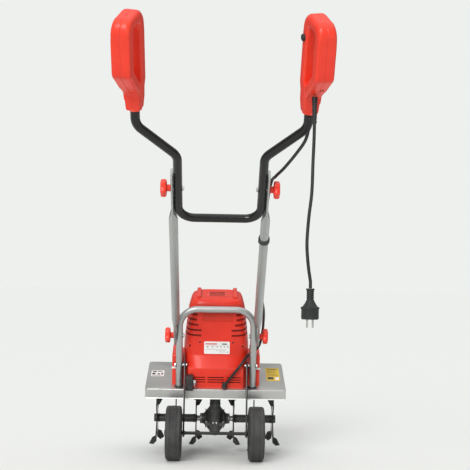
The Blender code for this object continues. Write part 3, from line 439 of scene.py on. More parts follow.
for turn in (-28.0, 28.0):
    tab = add_block(clip, (-0.0165, -0.0045, -0.0028), (-0.0125, 0.0045, 0.0028), 0.0006)
    bmesh.ops.transform(clip,
                        matrix=Matrix.Translation(clip_centre) @ Matrix.Rotation(math.radians(52.0), 4, "X")
                        @ Matrix.Rotation(math.radians(turn), 4, "Y"), verts=tab)
fit_piece("tube_clip", clip, [BLACK_MOULDING], "lower_handle", ["cable_clip"])

# ----------------------------------------------------------------- tine guard
# A pressed steel tray over the tines, with folded lips and a rolled lower hem whose shine is a painted highlight.
# Plain grey metal; it carries two safety stickers and is drilled for the motor shaft.
CHASSIS = (Matrix.Translation((0.0, SHAFT_TO_MIDDLE, 0.100)) @ Matrix.Rotation(math.radians(16.2), 4, "X"))
GUARD_HALF_WIDTH = 0.2141
GUARD_REAR_Y = -0.1167
GUARD_FRONT_Y = 0.116
GUARD_TOP = 0.1445
GUARD_LIP = 0.028
WORM_Y = -0.0395
GUARD_GREY = finish("guard_grey", (0.470, 0.475, 0.462), (0.540, 0.545, 0.530), 0.36, metallic=0.80,
                    mottle=9.0, grain=2200.0, depth=0.08, coat=0.10)
# Near-white hem colour: a painted highlight along the rolled lower edge of the guard.
HEM_PAINTED_HIGHLIGHT = finish("hem_painted_highlight", (0.800, 0.805, 0.790), (0.880, 0.885, 0.870), 0.38, metallic=0.2,
                    grain=2200.0)
guard = bmesh.new()
add_block(guard, (-GUARD_HALF_WIDTH, GUARD_REAR_Y, GUARD_TOP - GUARD_LIP),
          (GUARD_HALF_WIDTH, GUARD_FRONT_Y, GUARD_TOP))
upright = [edge for edge in guard.edges if abs(edge.verts[0].co.z - edge.verts[1].co.z) > 0.01]
bmesh.ops.bevel(guard, geom=upright, offset=0.010, offset_type="OFFSET", affect="EDGES", segments=6,
                profile=0.5, material=-1)
fold = [edge for edge in guard.edges if min(v.co.z for v in edge.verts) > GUARD_TOP - 0.001]
bmesh.ops.bevel(guard, geom=fold, offset=0.0026, offset_type="OFFSET", affect="EDGES", segments=4,
                profile=0.5, material=-1)
deck = max(guard.faces, key=lambda face: face.calc_center_median().z)
mouth = min(guard.faces, key=lambda face: face.calc_center_median().z)
bmesh.ops.delete(guard, geom=[deck, mouth], context="FACES_ONLY")
rim = [edge for edge in guard.edges if edge.is_boundary and edge.verts[0].co.z > GUARD_TOP - 0.001]
shaft_hole = bmesh.ops.create_circle(guard, segments=32, radius=0.0125,
                                     matrix=Matrix.Translation((0.0, WORM_Y, GUARD_TOP)))["verts"]
hole_edges = list({edge for vert in shaft_hole for edge in vert.link_edges})
bmesh.ops.triangle_fill(guard, use_beauty=True, use_dissolve=False, edges=rim + hole_edges)
# The hem faces grown below take material 1, the painted highlight.
hem = [edge for edge in guard.edges if edge.is_boundary and edge.verts[0].co.z < GUARD_TOP - 0.02]
for push, drop in ((0.0011, -0.0004), (0.0006, -0.0010), (-0.0004, -0.0010)):
    grown = bmesh.ops.extrude_edge_only(guard, edges=hem)["geom"]
    fresh = [item for item in grown if isinstance(item, bmesh.types.BMVert)]
    for vert in fresh:
        vert.co.x += math.copysign(push, vert.co.x)
        vert.co.y += math.copysign(push, vert.co.y)
        vert.co.z += drop
    for face in (item for item in grown if isinstance(item, bmesh.types.BMFace)):
        face.material_index = 1
    new = set(fresh)
    hem = [item for item in grown if isinstance(item, bmesh.types.BMEdge)
           and item.verts[0] in new and item.verts[1] in new]
fit_piece("tine_guard", guard, [GUARD_GREY, HEM_PAINTED_HIGHLIGHT], "chassis", ["guard_plate"], CHASSIS,
          wall=0.0016)

LABEL_WHITE = finish("label_white", (0.74, 0.74, 0.73), (0.84, 0.84, 0.83), 0.35, grain=500.0, depth=0.03)
LABEL_DARK = finish("label_dark", (0.03, 0.03, 0.03), (0.06, 0.06, 0.06), 0.4, grain=500.0, depth=0.03)
LABEL_YELLOW = finish("label_yellow", (0.62, 0.43, 0.02), (0.74, 0.53, 0.03), 0.38, grain=500.0, depth=0.03)
LABEL_RED = finish("label_red", (0.62, 0.04, 0.03), (0.72, 0.06, 0.04), 0.38, grain=500.0, depth=0.03)


def stick_label(name, width, height, looks, marks, place):
    """A printed film with plain bars and blocks on it, and rounded corners."""
    film = bmesh.new()
    add_block(film, (-width / 2, -height / 2, -0.0002), (width / 2, height / 2, 0.0005))
    corners = [edge for edge in film.edges if abs(edge.verts[0].co.z - edge.verts[1].co.z) > 0.0001]
    bmesh.ops.bevel(film, geom=corners, offset=0.0022, offset_type="OFFSET", affect="EDGES", segments=4,
                    profile=0.5, material=-1)
    for x, y, wide, high, look in marks:
        add_block(film, (x - wide / 2, y - high / 2, 0.0004), (x + wide / 2, y + high / 2, 0.00062),
                  look=look)
    return fit_piece(name, film, looks, "chassis", [], place)


on_deck = CHASSIS @ Matrix.Translation((0.0, 0.0, GUARD_TOP + 0.0002))
stick_label("guard_sticker_left", 0.040, 0.046, [LABEL_WHITE, LABEL_DARK], [
    (-0.010, 0.014, 0.012, 0.010, 1), (0.006, 0.015, 0.014, 0.006, 1), (-0.012, -0.004, 0.010, 0.014, 1),
    (0.003, -0.006, 0.009, 0.010, 1), (0.014, -0.003, 0.005, 0.016, 1), (-0.002, -0.018, 0.028, 0.003, 1)],
    on_deck @ Matrix.Translation((-0.182, 0.011, 0.0)))
stick_label("guard_sticker_right", 0.042, 0.108, [LABEL_YELLOW, LABEL_DARK, LABEL_WHITE], [
    (0.0, 0.044, 0.034, 0.006, 1), (-0.003, 0.030, 0.028, 0.0022, 1), (0.0, 0.022, 0.034, 0.0022, 1),
    (-0.004, 0.014, 0.026, 0.0022, 1), (0.0, 0.002, 0.034, 0.0022, 1), (-0.002, -0.006, 0.030, 0.0022, 1),
    (0.0, -0.014, 0.034, 0.0022, 1), (-0.008, -0.034, 0.018, 0.020, 1), (0.012, -0.036, 0.012, 0.022, 2)],
    on_deck @ Matrix.Translation((0.180, 0.016, 0.0)))

# -------------------------------------------------------------------- gearbox
# A cast case in two halves that clamp the worm wheel, bolted up under the guard. Dark
# iron with a rough skin, zinc-plated screws and a pressed cap over each shaft seal.
CASE_HALF = 0.0425
CASE_TOP = GUARD_TOP - 0.0023
CAST_IRON = finish("cast_iron", (0.060, 0.062, 0.059), (0.120, 0.123, 0.116), 0.52, metallic=0.55,
                   mottle=55.0, grain=650.0, depth=0.45, edge_wear_and_sheen=(0.20, 0.20, 0.19))


def add_hex_screw(shape, place, across, height, look=0):
    """A hexagon head on a washer, its top chamfered."""
    turn_profile(shape, [(0.0, 0.0), (0.0, across * 0.66), (0.0010, across * 0.66), (0.0010, 0.0)], place, 32,
                 look)
    before = set(shape.verts)
    head = bmesh.ops.create_cone(shape, cap_ends=True, segments=6, radius1=across * 0.56,
                                 radius2=across * 0.56,
                                 depth=height, matrix=Matrix.Translation((0.0, 0.0,
                                                                          0.0010 + height / 2)))["verts"]
    edges = {edge for vert in head for edge in vert.link_edges}
    bmesh.ops.bevel(shape, geom=list(edges), offset=0.0005, offset_type="OFFSET", affect="EDGES", segments=2,
                    profile=0.5, material=-1)
    fresh = [vert for vert in shape.verts if vert not in before]
    for vert in fresh:
        for face in vert.link_faces:
            face.material_index = look
    bmesh.ops.transform(shape, matrix=place, verts=fresh)


for half_name, upward in (("gearbox_upper_case", 1), ("gearbox_lower_case", -1)):
    case = bmesh.new()
    drum = [(-CASE_HALF, 0.0100), (-CASE_HALF, 0.0155), (-0.0345, 0.0172), (-0.0330, 0.0190),
            (-0.0205, 0.0338), (-0.0185, 0.0370), (-0.0160, 0.0388), (-0.0130, 0.0395)]
    drum += [(-along, radius) for along, radius in drum[::-1]]
    turn_profile(case, drum, ALONG_X, 64)
    for web in (-0.0285, 0.0285):
        turn_profile(case, [(web - 0.0014, 0.0100), (web - 0.0014, 0.0290), (web - 0.0006, 0.0300),
                            (web + 0.0006, 0.0300), (web + 0.0014, 0.0290), (web + 0.0014, 0.0100)], ALONG_X,
                     64)
    column = [(-0.0340, 0.0), (-0.0340, 0.0140), (-0.0325, 0.0160), (-0.0310, 0.0165),
              (CASE_TOP - 0.0100, 0.0165),
              (CASE_TOP - 0.0080, 0.0190), (CASE_TOP - 0.0075, 0.0262), (CASE_TOP - 0.0065, 0.0270),
              (CASE_TOP, 0.0270), (CASE_TOP, 0.0)]
    turn_profile(case, column, Matrix.Translation((0.0, WORM_Y, 0.0)), 48)
    for ring in (0.050, 0.066, 0.082):
        turn_profile(case, [(ring - 0.0012, 0.0160), (ring - 0.0008, 0.0174), (ring + 0.0008, 0.0174),
                            (ring + 0.0012, 0.0160)], Matrix.Translation((0.0, WORM_Y, 0.0)), 48)
    cut = bmesh.ops.bisect_plane(case, geom=case.verts[:] + case.edges[:] + case.faces[:], dist=1e-6,
                                 plane_co=(0.0, 0.0, upward * 0.00015), plane_no=(0.0, 0.0, upward),
                                 clear_inner=True)
    seam = [item for item in cut["geom_cut"] if isinstance(item, bmesh.types.BMEdge)]
    bmesh.ops.holes_fill(case, edges=seam)
    lid = add_block(case, (-0.0315, -0.0500, 0.00015), (0.0315, 0.0310, 0.0042), 0.0010)
    if upward < 0:
        bmesh.ops.transform(case, matrix=Matrix.Diagonal((1.0, 1.0, -1.0, 1.0)), verts=lid)
    for x, y in ((-0.0255, -0.0420), (0.0255, -0.0420), (-0.0255, 0.0240), (0.0255, 0.0240)):
        place = Matrix.Translation((x, y, upward * 0.0042))
        if upward < 0:
            place = place @ Matrix.Rotation(math.pi, 4, "X")
        add_hex_screw(case, place, 0.0080, 0.0034, look=1)
    if upward > 0:
        for x in (-0.0052, 0.0052):
            turn_profile(case, [(0.0, 0.0), (0.0, 0.0034), (0.0030, 0.0034), (0.0036, 0.0026), (0.0036, 0.0)],
                         Matrix.Translation((x, WORM_Y - 0.0150, 0.0085))
                         @ Matrix.Rotation(math.radians(90.0), 4, "X"), 24, look=1)
    fit_piece(half_name.replace("_case", "_casting"), case, [CAST_IRON, BRIGHT_STEEL], "chassis", [half_name],
              CHASSIS)

SEAL_STEEL = finish("seal_steel", (0.22, 0.22, 0.22), (0.34, 0.34, 0.33), 0.38, metallic=0.9, mottle=40.0,
                    depth=0.08)
for side_name, facing in (("left", AGAINST_X), ("right", ALONG_X)):
    seal = bmesh.new()
    inner, outer = CASE_HALF + 0.0003, CASE_HALF + 0.0045
    turn_profile(seal, [(inner, 0.0092), (inner, 0.0163), (inner + 0.0008, 0.0165), (outer - 0.0014, 0.0162),
                        (outer - 0.0004, 0.0152), (outer, 0.0142), (outer, 0.0124), (outer - 0.0012, 0.0118),
                        (outer - 0.0012, 0.0104), (outer, 0.0100), (outer, 0.0092), (inner, 0.0092)], facing,
                 48)
    fit_piece("shaft_seal_" + side_name, seal, [SEAL_STEEL], "chassis", ["bearing_cap_" + side_name],
              CHASSIS)

# ----------------------------------------------------------- tines and the drive
# Six four-armed blades stamped from 3.5 mm plate, their tips bent aside, welded to two
# hub tubes. Glossy black enamel, rubbed to bright metal along the cutting edges.
TINE_CENTRE = Matrix.Translation((0.0, SHAFT_TO_MIDDLE, 0.100))
BLADE_ENAMEL = finish("blade_enamel", (0.008, 0.008, 0.008), (0.016, 0.016, 0.016), 0.27, mottle=30.0,
                      grain=900.0, depth=0.10, coat=0.2, edge_wear_and_sheen=(0.30, 0.30, 0.29), edge_wear_and_sheen_from=0.55)
HUB_RADIUS = 0.0125
for side_name, side, facing in (("left", -1, AGAINST_X), ("right", 1, ALONG_X)):
    hub = bmesh.new()
    turn_profile(hub, [(0.0560, 0.0088), (0.0560, 0.0119), (0.0566, HUB_RADIUS), (0.1912, HUB_RADIUS),
                       (0.1920, 0.0118), (0.1920, 0.0092), (0.1914, 0.0088), (0.0560, 0.0088)], facing, 48)
    for place_of_collar in (0.0660, 0.1160, 0.1310, 0.1752):
        turn_profile(hub, [(place_of_collar - 0.0024, 0.0122), (place_of_collar - 0.0014, 0.0136),
                           (place_of_collar + 0.0014, 0.0136), (place_of_collar + 0.0024, 0.0122)], facing,
                     48)
    fit_piece("tine_hub_tube_" + side_name, hub, [BLADE_ENAMEL], "tines", ["tine_hub_" + side_name],
              TINE_CENTRE)
    retainer = bmesh.new()
    turn_profile(retainer, [(-0.0150, 0.0), (-0.0150, 0.0026), (-0.0143, 0.0030), (0.0143, 0.0030),
                            (0.0150, 0.0042), (0.0172, 0.0042), (0.0178, 0.0036), (0.0178, 0.0)],
                 Matrix.Translation((side * 0.1480, 0.0, 0.0)), 24)
    wire = [Vector((side * 0.1480, 0.0012, -0.0146)), Vector((side * 0.1480, 0.0095, -0.0135)),
            Vector((side * 0.1480, 0.0148, -0.0060)), Vector((side * 0.1480, 0.0150, 0.0060)),
            Vector((side * 0.1480, 0.0100, 0.0135)), Vector((side * 0.1480, 0.0030, 0.0158))]
    draw_through(retainer, hose_sections(smooth_route(wire, 0.002), 0.0009, 10))
    fit_piece("hub_retainer_" + side_name, retainer, [BRIGHT_STEEL], "tines", [], TINE_CENTRE)

HALF_ARM = ((0.1077, 0.0), (0.0930, 0.0175), (0.0795, 0.0135), (0.0300, 0.0135), (0.0225, 0.0225))
BLADE_THICKNESS = 0.0035
BEND_START = 0.0770
BEND_LENGTH = 0.006
BEND_ANGLE = math.radians(45.0)


def bend_tip(vert, outward, lean):
    """Rolls what lies past the bend line aside, as the press does."""
    past = vert.co.dot(outward) - BEND_START
    if past <= 0.0:
        return
    roll = BEND_ANGLE * min(1.0, past / BEND_LENGTH)
    radius = BEND_LENGTH / BEND_ANGLE
    straight = max(0.0, past - BEND_LENGTH)
    offset = vert.co.x * lean
    reach = radius * math.sin(roll) + straight * math.cos(roll) - offset * math.sin(roll)
    aside = radius * (1.0 - math.cos(roll)) + straight * math.sin(roll) + offset * math.cos(roll)
    vert.co += outward * (reach - past)
    vert.co.x = lean * aside


for side_name, side in (("left", -1), ("right", 1)):
    for number, distance in enumerate((0.0591, 0.1234, 0.1823), 1):
        middle = number == 2
        blade = bmesh.new()
        outline = []
        for quarter in range(4):
            turn = quarter * math.pi / 2
            arm = [(0.0300, -0.0135), (0.0795, -0.0135), (0.0930, -0.0175)] + list(HALF_ARM)
            for along, across in arm:
                outline.append(blade.verts.new((-BLADE_THICKNESS / 2,
                                                along * math.cos(turn) - across * math.sin(turn),
                                                along * math.sin(turn) + across * math.cos(turn))))
        rim = [blade.edges.new((outline[index - 1], outline[index])) for index in range(len(outline))]
        bore = bmesh.ops.create_circle(blade, segments=32, radius=HUB_RADIUS + 0.0002,
                                       matrix=Matrix.Translation((-BLADE_THICKNESS / 2, 0.0, 0.0))
                                       @ ALONG_X)["verts"]
        bore_edges = list({edge for vert in bore for edge in vert.link_edges})
        bmesh.ops.triangle_fill(blade, use_beauty=True, use_dissolve=False, edges=rim + bore_edges)
        for quarter in range(4):
            turn = quarter * math.pi / 2
            outward = Vector((0.0, math.cos(turn), math.sin(turn)))
            for step in range(5):
                bmesh.ops.bisect_plane(blade, geom=blade.verts[:] + blade.edges[:] + blade.faces[:],
                                       dist=1e-6,
                                       plane_co=outward * (BEND_START + BEND_LENGTH * step / 4),
                                       plane_no=outward)
        lifted = bmesh.ops.extrude_face_region(blade, geom=blade.faces[:])["geom"]
        for vert in (item for item in lifted if isinstance(item, bmesh.types.BMVert)):
            vert.co.x = BLADE_THICKNESS / 2
        bmesh.ops.recalc_face_normals(blade, faces=blade.faces)
        lean = -side if middle else side
        verts = blade.verts[:]
        for quarter in range(4):
            turn = quarter * math.pi / 2
            outward = Vector((0.0, math.cos(turn), math.sin(turn)))
            for vert in verts:
                bend_tip(vert, outward, lean * (-1) ** quarter)
        corners = [edge for edge in blade.edges if len(edge.link_faces) == 2
                   and edge.calc_face_angle() > math.radians(50.0)]
        bmesh.ops.bevel(blade, geom=corners, offset=0.0005, offset_type="OFFSET", affect="EDGES", segments=2,
                        profile=0.5, material=-1)
        turn = Matrix.Rotation(math.radians(90.0 if middle else 45.0), 4, "X")
        node = "tine_star_%s_%d" % (side_name, number)
        fit_piece("tine_blade_%s_%d" % (side_name, number), blade, [BLADE_ENAMEL], "tines", [node],
                  TINE_CENTRE @ Matrix.Translation((side * distance, 0.0, 0.0)) @ turn)


def refinish(names, look):
    """Gives CAD pieces whose shape is already right their real surface."""
    for name in names:
        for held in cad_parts[name].material_slots:
            held.material = look


GROUND_STEEL = finish("ground_steel", (0.42, 0.42, 0.41), (0.60, 0.60, 0.58), 0.24, metallic=1.0, mottle=25.0,
                      grain=3000.0, depth=0.12, streak=(0.1, 1.0, 1.0))
WHEEL_BRONZE = finish("wheel_bronze", (0.50, 0.33, 0.12), (0.66, 0.46, 0.20), 0.34, metallic=1.0, mottle=60.0,
                      grain=1800.0, depth=0.15)
COPPER_WIRE = finish("copper_wire", (0.52, 0.20, 0.09), (0.74, 0.34, 0.16), 0.36, metallic=1.0, mottle=35.0,
                     grain=420.0, depth=0.6, streak=(1.0, 1.0, 0.15))
STACK_STEEL = finish("stack_steel", (0.10, 0.10, 0.10), (0.17, 0.17, 0.17), 0.48, metallic=0.8, mottle=30.0,
                     grain=500.0, depth=0.4, streak=(0.2, 0.2, 6.0))
refinish(["tine_shaft", "armature_shaft"], GROUND_STEEL)
refinish(["worm_wheel"], WHEEL_BRONZE)
refinish(["armature_core", "commutator"], COPPER_WIRE)
refinish(["stator"], STACK_STEEL)
refinish(["motor_adapter"], CAST_IRON)
refinish(["motor_bearing"], BRIGHT_STEEL)
refinish(["cooling_fan"], BLACK_MOULDING)

# ------------------------------------------------------------------ motor base
# The red foot of the motor housing, moulded in one piece with cooling slots across the
# back and a high shoulder outside each leg of the frame. Screwed down to the guard.
BASE_BOTTOM = GUARD_TOP + 0.0003
BASE_TOP = 0.209
BASE_REAR = -0.106
PARTING_Y = -0.0125
# The lighter red this finish gives sharp edges is a painted sheen.
HOUSING_RED = finish("housing_red", (0.660, 0.024, 0.010), (0.760, 0.034, 0.014), 0.36, mottle=11.0,
                     grain=1500.0, depth=0.16, coat=0.12, edge_wear_and_sheen=(0.90, 0.13, 0.09), edge_wear_and_sheen_from=0.525)
# Near-black red for vent slots, grooves and screw holes: painted shade standing in for the shadow inside them.
SLOT_PAINTED_SHADE = finish("slot_painted_shade", (0.060, 0.006, 0.004), (0.110, 0.010, 0.006), 0.6, grain=900.0, depth=0.1)


def rounded_outline(corners, steps):
    """A closed outline from (x, y, radius) corners, with an arc at each corner."""
    points = []
    for index, (x, y, radius) in enumerate(corners):
        here = Vector((x, y))
        before = (Vector(corners[index - 1][:2]) - here).normalized()
        after = (Vector(corners[(index + 1) % len(corners)][:2]) - here).normalized()
        half = before.angle(after) / 2.0
        setback = radius / math.tan(half)
        centre = here + (before + after).normalized() * (radius / math.sin(half))
        first = here + before * setback - centre
        sweep = first.angle_signed(here + after * setback - centre)
        for step in range(steps + 1):
            turn = -sweep * step / steps
            points.append((centre.x + first.x * math.cos(turn) - first.y * math.sin(turn),
                           centre.y + first.x * math.sin(turn) + first.y * math.cos(turn)))
    return points


base = bmesh.new()
base_outline = rounded_outline([
    (-0.0865, BASE_REAR, 0.008), (0.0865, BASE_REAR, 0.008), (0.0865, -0.0815, 0.002),
                                (0.134, -0.0815, 0.004),
    (0.134, 0.050, 0.020), (0.095, 0.088, 0.020), (-0.095, 0.088, 0.020), (-0.134, 0.050, 0.020),
    (-0.134, -0.0815, 0.004), (-0.0865, -0.0815, 0.002)], 5)
levels = ((0.0, BASE_BOTTOM), (0.0, BASE_BOTTOM + 0.004), (0.0, BASE_TOP - 0.003),
          (0.0010, BASE_TOP - 0.0008), (0.0030, BASE_TOP))
sections = []
for inset, z in levels:
    sections.append([(x * (1.0 - inset / 0.13), y * (1.0 - inset / 0.10), z) for x, y in base_outline])
draw_through(base, sections, caps=False)
top_rim = [edge for edge in base.edges if edge.is_boundary and edge.verts[0].co.z > BASE_TOP - 0.0001]
mouth_ring = bmesh.ops.create_circle(base, segments=48, radius=0.072,
                                     matrix=Matrix.Translation((0.0, PARTING_Y, BASE_TOP)))["verts"]
mouth_edges = list({edge for vert in mouth_ring for edge in vert.link_edges})
bmesh.ops.triangle_fill(base, use_beauty=True, use_dissolve=False, edges=top_rim + mouth_edges)


def on_rear_wall(face):
    centre = face.calc_center_median()
    return abs(centre.y - BASE_REAR) < 0.0004 and abs(centre.x) < 0.0785 and centre.z < BASE_TOP - 0.0035


SLOT_ROWS = (0.1795, 0.1720, 0.1645)
SLOT_COLUMNS = ((-0.0710, -0.0320), (-0.0250, 0.0240), (0.0330, 0.0760))
slot_cuts = [(Vector((0.0, 0.0, row + shift)), Vector((0.0, 0.0, 1.0))) for row in SLOT_ROWS
             for shift in (-0.0014, 0.0014)]
slot_cuts += [(Vector((x, 0.0, 0.0)), Vector((1.0, 0.0, 0.0))) for column in SLOT_COLUMNS for x in column]
for point, direction in slot_cuts:
    wall = [face for face in base.faces if on_rear_wall(face)]
    parts = set(wall)
    for face in wall:
        parts.update(face.edges)
        parts.update(face.verts)
    bmesh.ops.bisect_plane(base, geom=list(parts), dist=1e-6, plane_co=point, plane_no=direction)
slots = []
for face in base.faces:
    centre = face.calc_center_median()
    in_row = any(abs(centre.z - row) < 0.0012 for row in SLOT_ROWS)
    in_column = any(low < centre.x < high for low, high in SLOT_COLUMNS)
    if on_rear_wall(face) and in_row and in_column:
        slots.append(face)
# The slot floors and walls take material 1: painted shade inside the cooling slots.
sunk = bmesh.ops.extrude_face_region(base, geom=slots)["geom"]
bmesh.ops.delete(base, geom=slots, context="FACES_ONLY")
for vert in (item for item in sunk if isinstance(item, bmesh.types.BMVert)):
    vert.co.y += 0.0060
for face in (item for item in sunk if isinstance(item, bmesh.types.BMFace)):
    face.material_index = 1
    for edge in face.edges:
        for side_face in edge.link_faces:
            side_face.material_index = 1
fit_piece("motor_foot", base, [HOUSING_RED, SLOT_PAINTED_SHADE], "chassis", ["motor_base"], CHASSIS,
          wall=0.0026)
for side_name, side in (("left", -1), ("right", 1)):
    shoulder = bmesh.new()
    low, high = sorted((side * 0.1045, side * 0.1338))
    add_block(shoulder, (low, -0.0812, BASE_TOP - 0.0040), (high, 0.0300, 0.2410), 0.0042, segments=4)
    add_block(shoulder, (low + 0.004, -0.0700, 0.2395), (high - 0.004, 0.0200, 0.2418), 0.0010)
    # Thin near-black plates on the shoulder's outer face: painted shade for its grooves.
    for groove in range(4):
        y = -0.055 + 0.022 * groove
        face_x = side * 0.1338
        add_block(shoulder, (face_x - 0.0006, y, 0.2120), (face_x + 0.0004, y + 0.012, 0.2320), 0.0003,
                  look=1)
    fit_piece("foot_shoulder_" + side_name, shoulder, [HOUSING_RED, SLOT_PAINTED_SHADE], "chassis", [],
              CHASSIS)
    tab = bmesh.new()
    add_block(tab, (min(side * 0.1200, side * 0.1348), -0.0832, 0.1975), (max(side * 0.1200, side * 0.1348),
              -0.0805, 0.2035), 0.0008)
    fit_piece("foot_tab_" + side_name, tab, [LABEL_WHITE], "chassis", [], CHASSIS)

# ---------------------------------------------------------------- motor covers
# Two red mouldings that meet on a vertical line and taper up to the lid, with louvres
# at the corners, sunk screws and a rating label. Satin ABS; the louvres, sunk panel and screw holes
# are painted darker as painted shade, and the lighter red on sharp raised edges is a painted sheen.
COVER_SIZES = ((0.2093, 0.0935, 0.0935, 0.0880), (0.2450, 0.0985, 0.0755, 0.0800),
               (0.2700, 0.0985, 0.0750, 0.0770),
               (0.3200, 0.0930, 0.0730, 0.0730), (0.3730, 0.0862, 0.0700, 0.0690),
               (0.4000, 0.0790, 0.0660, 0.0640))
SQUARENESS = 2.0 / 0.45


def cover_size(z, facing):
    """The cover's half width and depth at a height."""
    for low, high in zip(COVER_SIZES, COVER_SIZES[1:]):
        if z <= high[0] + 1e-6:
            part = (z - low[0]) / (high[0] - low[0])
            pick = 2 if facing < 0 else 3
            return low[1] + (high[1] - low[1]) * part, low[pick] + (high[pick] - low[pick]) * part
    return COVER_SIZES[-1][1], COVER_SIZES[-1][2]


def cover_face(x, z, facing):
    """Where the cover's skin is at a width and height."""
    half_width, depth = cover_size(z, facing)
    reach = depth * (1.0 - min(1.0, abs(x) / half_width) ** SQUARENESS) ** (1.0 / SQUARENESS)
    return PARTING_Y + facing * reach


LOUVRE_ROWS = (0.3700, 0.3540, 0.3380, 0.3220, 0.3060)
LOUVRE_HALF = 0.0034
cover_heights = [0.2093, 0.2110, 0.2260, 0.2430, 0.2447, 0.2464, 0.2570, 0.2700, 0.2850, 0.2960]
for row in LOUVRE_ROWS[::-1]:
    cover_heights += [row - LOUVRE_HALF, row + LOUVRE_HALF]
cover_heights += [0.3810, 0.3900, 0.3985, 0.4000]
side_parts = (0.0, 0.20, 0.40, 0.55, 0.66, 0.74, 0.80)
face_parts = [0.856 - 0.856 * step / 14 for step in range(14)]
columns = [((1.0 - part ** SQUARENESS) ** (1.0 / SQUARENESS), part) for part in side_parts]
columns += [(part, (1.0 - part ** SQUARENESS) ** (1.0 / SQUARENESS)) for part in face_parts]
columns += [(0.0, 1.0)] + [(-across, back) for across, back in columns[::-1]]

for cover_name, node, facing in (("housing_rear", "motor_cover_rear", -1),
                                 ("housing_front", "motor_cover_front", 1)):
    cover = bmesh.new()
    start = [cover.verts.new((0.0, 0.0, 0.0)) for column in columns]
    edges = [cover.edges.new(pair) for pair in zip(start, start[1:])]
    row_verts = start
    for number, z in enumerate(cover_heights):
        half_width, depth = cover_size(z, facing)
        if number:
            grown = bmesh.ops.extrude_edge_only(cover, edges=edges)["geom"]
            followed = {}
            for vert in (item for item in grown if isinstance(item, bmesh.types.BMVert)):
                for edge in vert.link_edges:
                    if edge.other_vert(vert) in row_verts:
                        followed[edge.other_vert(vert)] = vert
            row_verts = [followed[vert] for vert in row_verts]
            edges = [item for item in grown if isinstance(item, bmesh.types.BMEdge)
                     and item.verts[0] in row_verts and item.verts[1] in row_verts]
        for vert, (across, back) in zip(row_verts, columns):
            vert.co = (half_width * across, PARTING_Y + facing * (0.00015 + depth * back), z)
    bmesh.ops.recalc_face_normals(cover, faces=cover.faces)
    if sum(face.normal.dot(face.calc_center_median() - Vector((0.0, PARTING_Y,
                                                               0.3))) for face in cover.faces) < 0:
        bmesh.ops.reverse_faces(cover, faces=cover.faces)
    louvres, panel = [], []
    for face in cover.faces:
        centre = face.calc_center_median()
        row = next((row for row in LOUVRE_ROWS if abs(centre.z - row) < LOUVRE_HALF * 0.8), None)
        inner = 0.046 if row is not None and row < 0.33 else 0.058
        deep = abs(centre.y - PARTING_Y)
        if row is not None and abs(centre.x) > inner and deep > 0.030:
            louvres.append(face)
        elif centre.z > 0.3506 and centre.z < 0.3850 and -0.0440 < centre.x < 0.0500 and deep > 0.05:
            panel.append(face)
    # Louvres take a dark red and the sunk panel a darker red: painted shade in the hollows.
    for chosen, sink, look in ((louvres, 0.0032, 1), (panel, 0.0022, 2)):
        sunk = bmesh.ops.extrude_face_region(cover, geom=chosen)["geom"]
        bmesh.ops.delete(cover, geom=chosen, context="FACES_ONLY")
        pushed = [item for item in sunk if isinstance(item, bmesh.types.BMVert)]
        for vert in pushed:
            inward = Vector((vert.co.x * 0.25, vert.co.y - PARTING_Y, 0.0)).normalized()
            vert.co -= inward * sink
        for face in (item for item in sunk if isinstance(item, bmesh.types.BMFace)):
            face.material_index = look
    # Material 1 is the louvres' painted shade, material 2 the sunk panel's painted shade.
    fit_piece(cover_name, cover, [HOUSING_RED, finish(cover_name + "_louvre_painted_shade", (0.180, 0.008, 0.005),
              (0.240, 0.011, 0.006), 0.5, depth=0.12), finish(cover_name + "_recess_painted_shade", (0.520, 0.026, 0.012),
              (0.610, 0.034, 0.016), 0.46, depth=0.20)], "chassis", [node], CHASSIS,
              wall=0.0024)
    ribs = bmesh.new()
    for side in (-1, 1):
        for row in LOUVRE_ROWS[3:]:
            x = side * 0.0660
            y = cover_face(x, row, facing)
            low_y, high_y = sorted((y - facing * 0.0010, y + facing * 0.0006))
            low_x, high_x = sorted((side * 0.0480, side * 0.0800))
            add_block(ribs, (low_x, low_y, row + 0.0046), (high_x, high_y, row + 0.0062), 0.0004)
    for side in (-1, 1):
        for x, z, size in ((side * 0.0790, 0.2710, 0.0064), (side * 0.0500, 0.2850, 0.0042)):
            y = cover_face(x, z, facing)
            sunk_place = Matrix.Translation((x, y - facing * 0.0010, z)) @ Matrix.Rotation(
                math.radians(90.0 if facing < 0 else -90.0), 4, "X")
            turn_profile(ribs, [(0.0, 0.0), (0.0, size * 0.60), (0.0012, size * 0.72), (0.0016, size * 0.80),
                                (0.0016, size), (0.0008, size * 1.08), (-0.0010, size * 1.08),
                                (-0.0010, 0.0)],
                         sunk_place, 28, look=0)
            # A near-black disc in each screw hole: painted shade.
            turn_profile(ribs, [(0.0002, 0.0), (0.0014, 0.0), (0.0014, size * 0.70), (0.0002, size * 0.70)],
                         sunk_place, 24, look=1)
    fit_piece(cover_name + "_fixings", ribs, [HOUSING_RED, SLOT_PAINTED_SHADE], "chassis", [], CHASSIS)

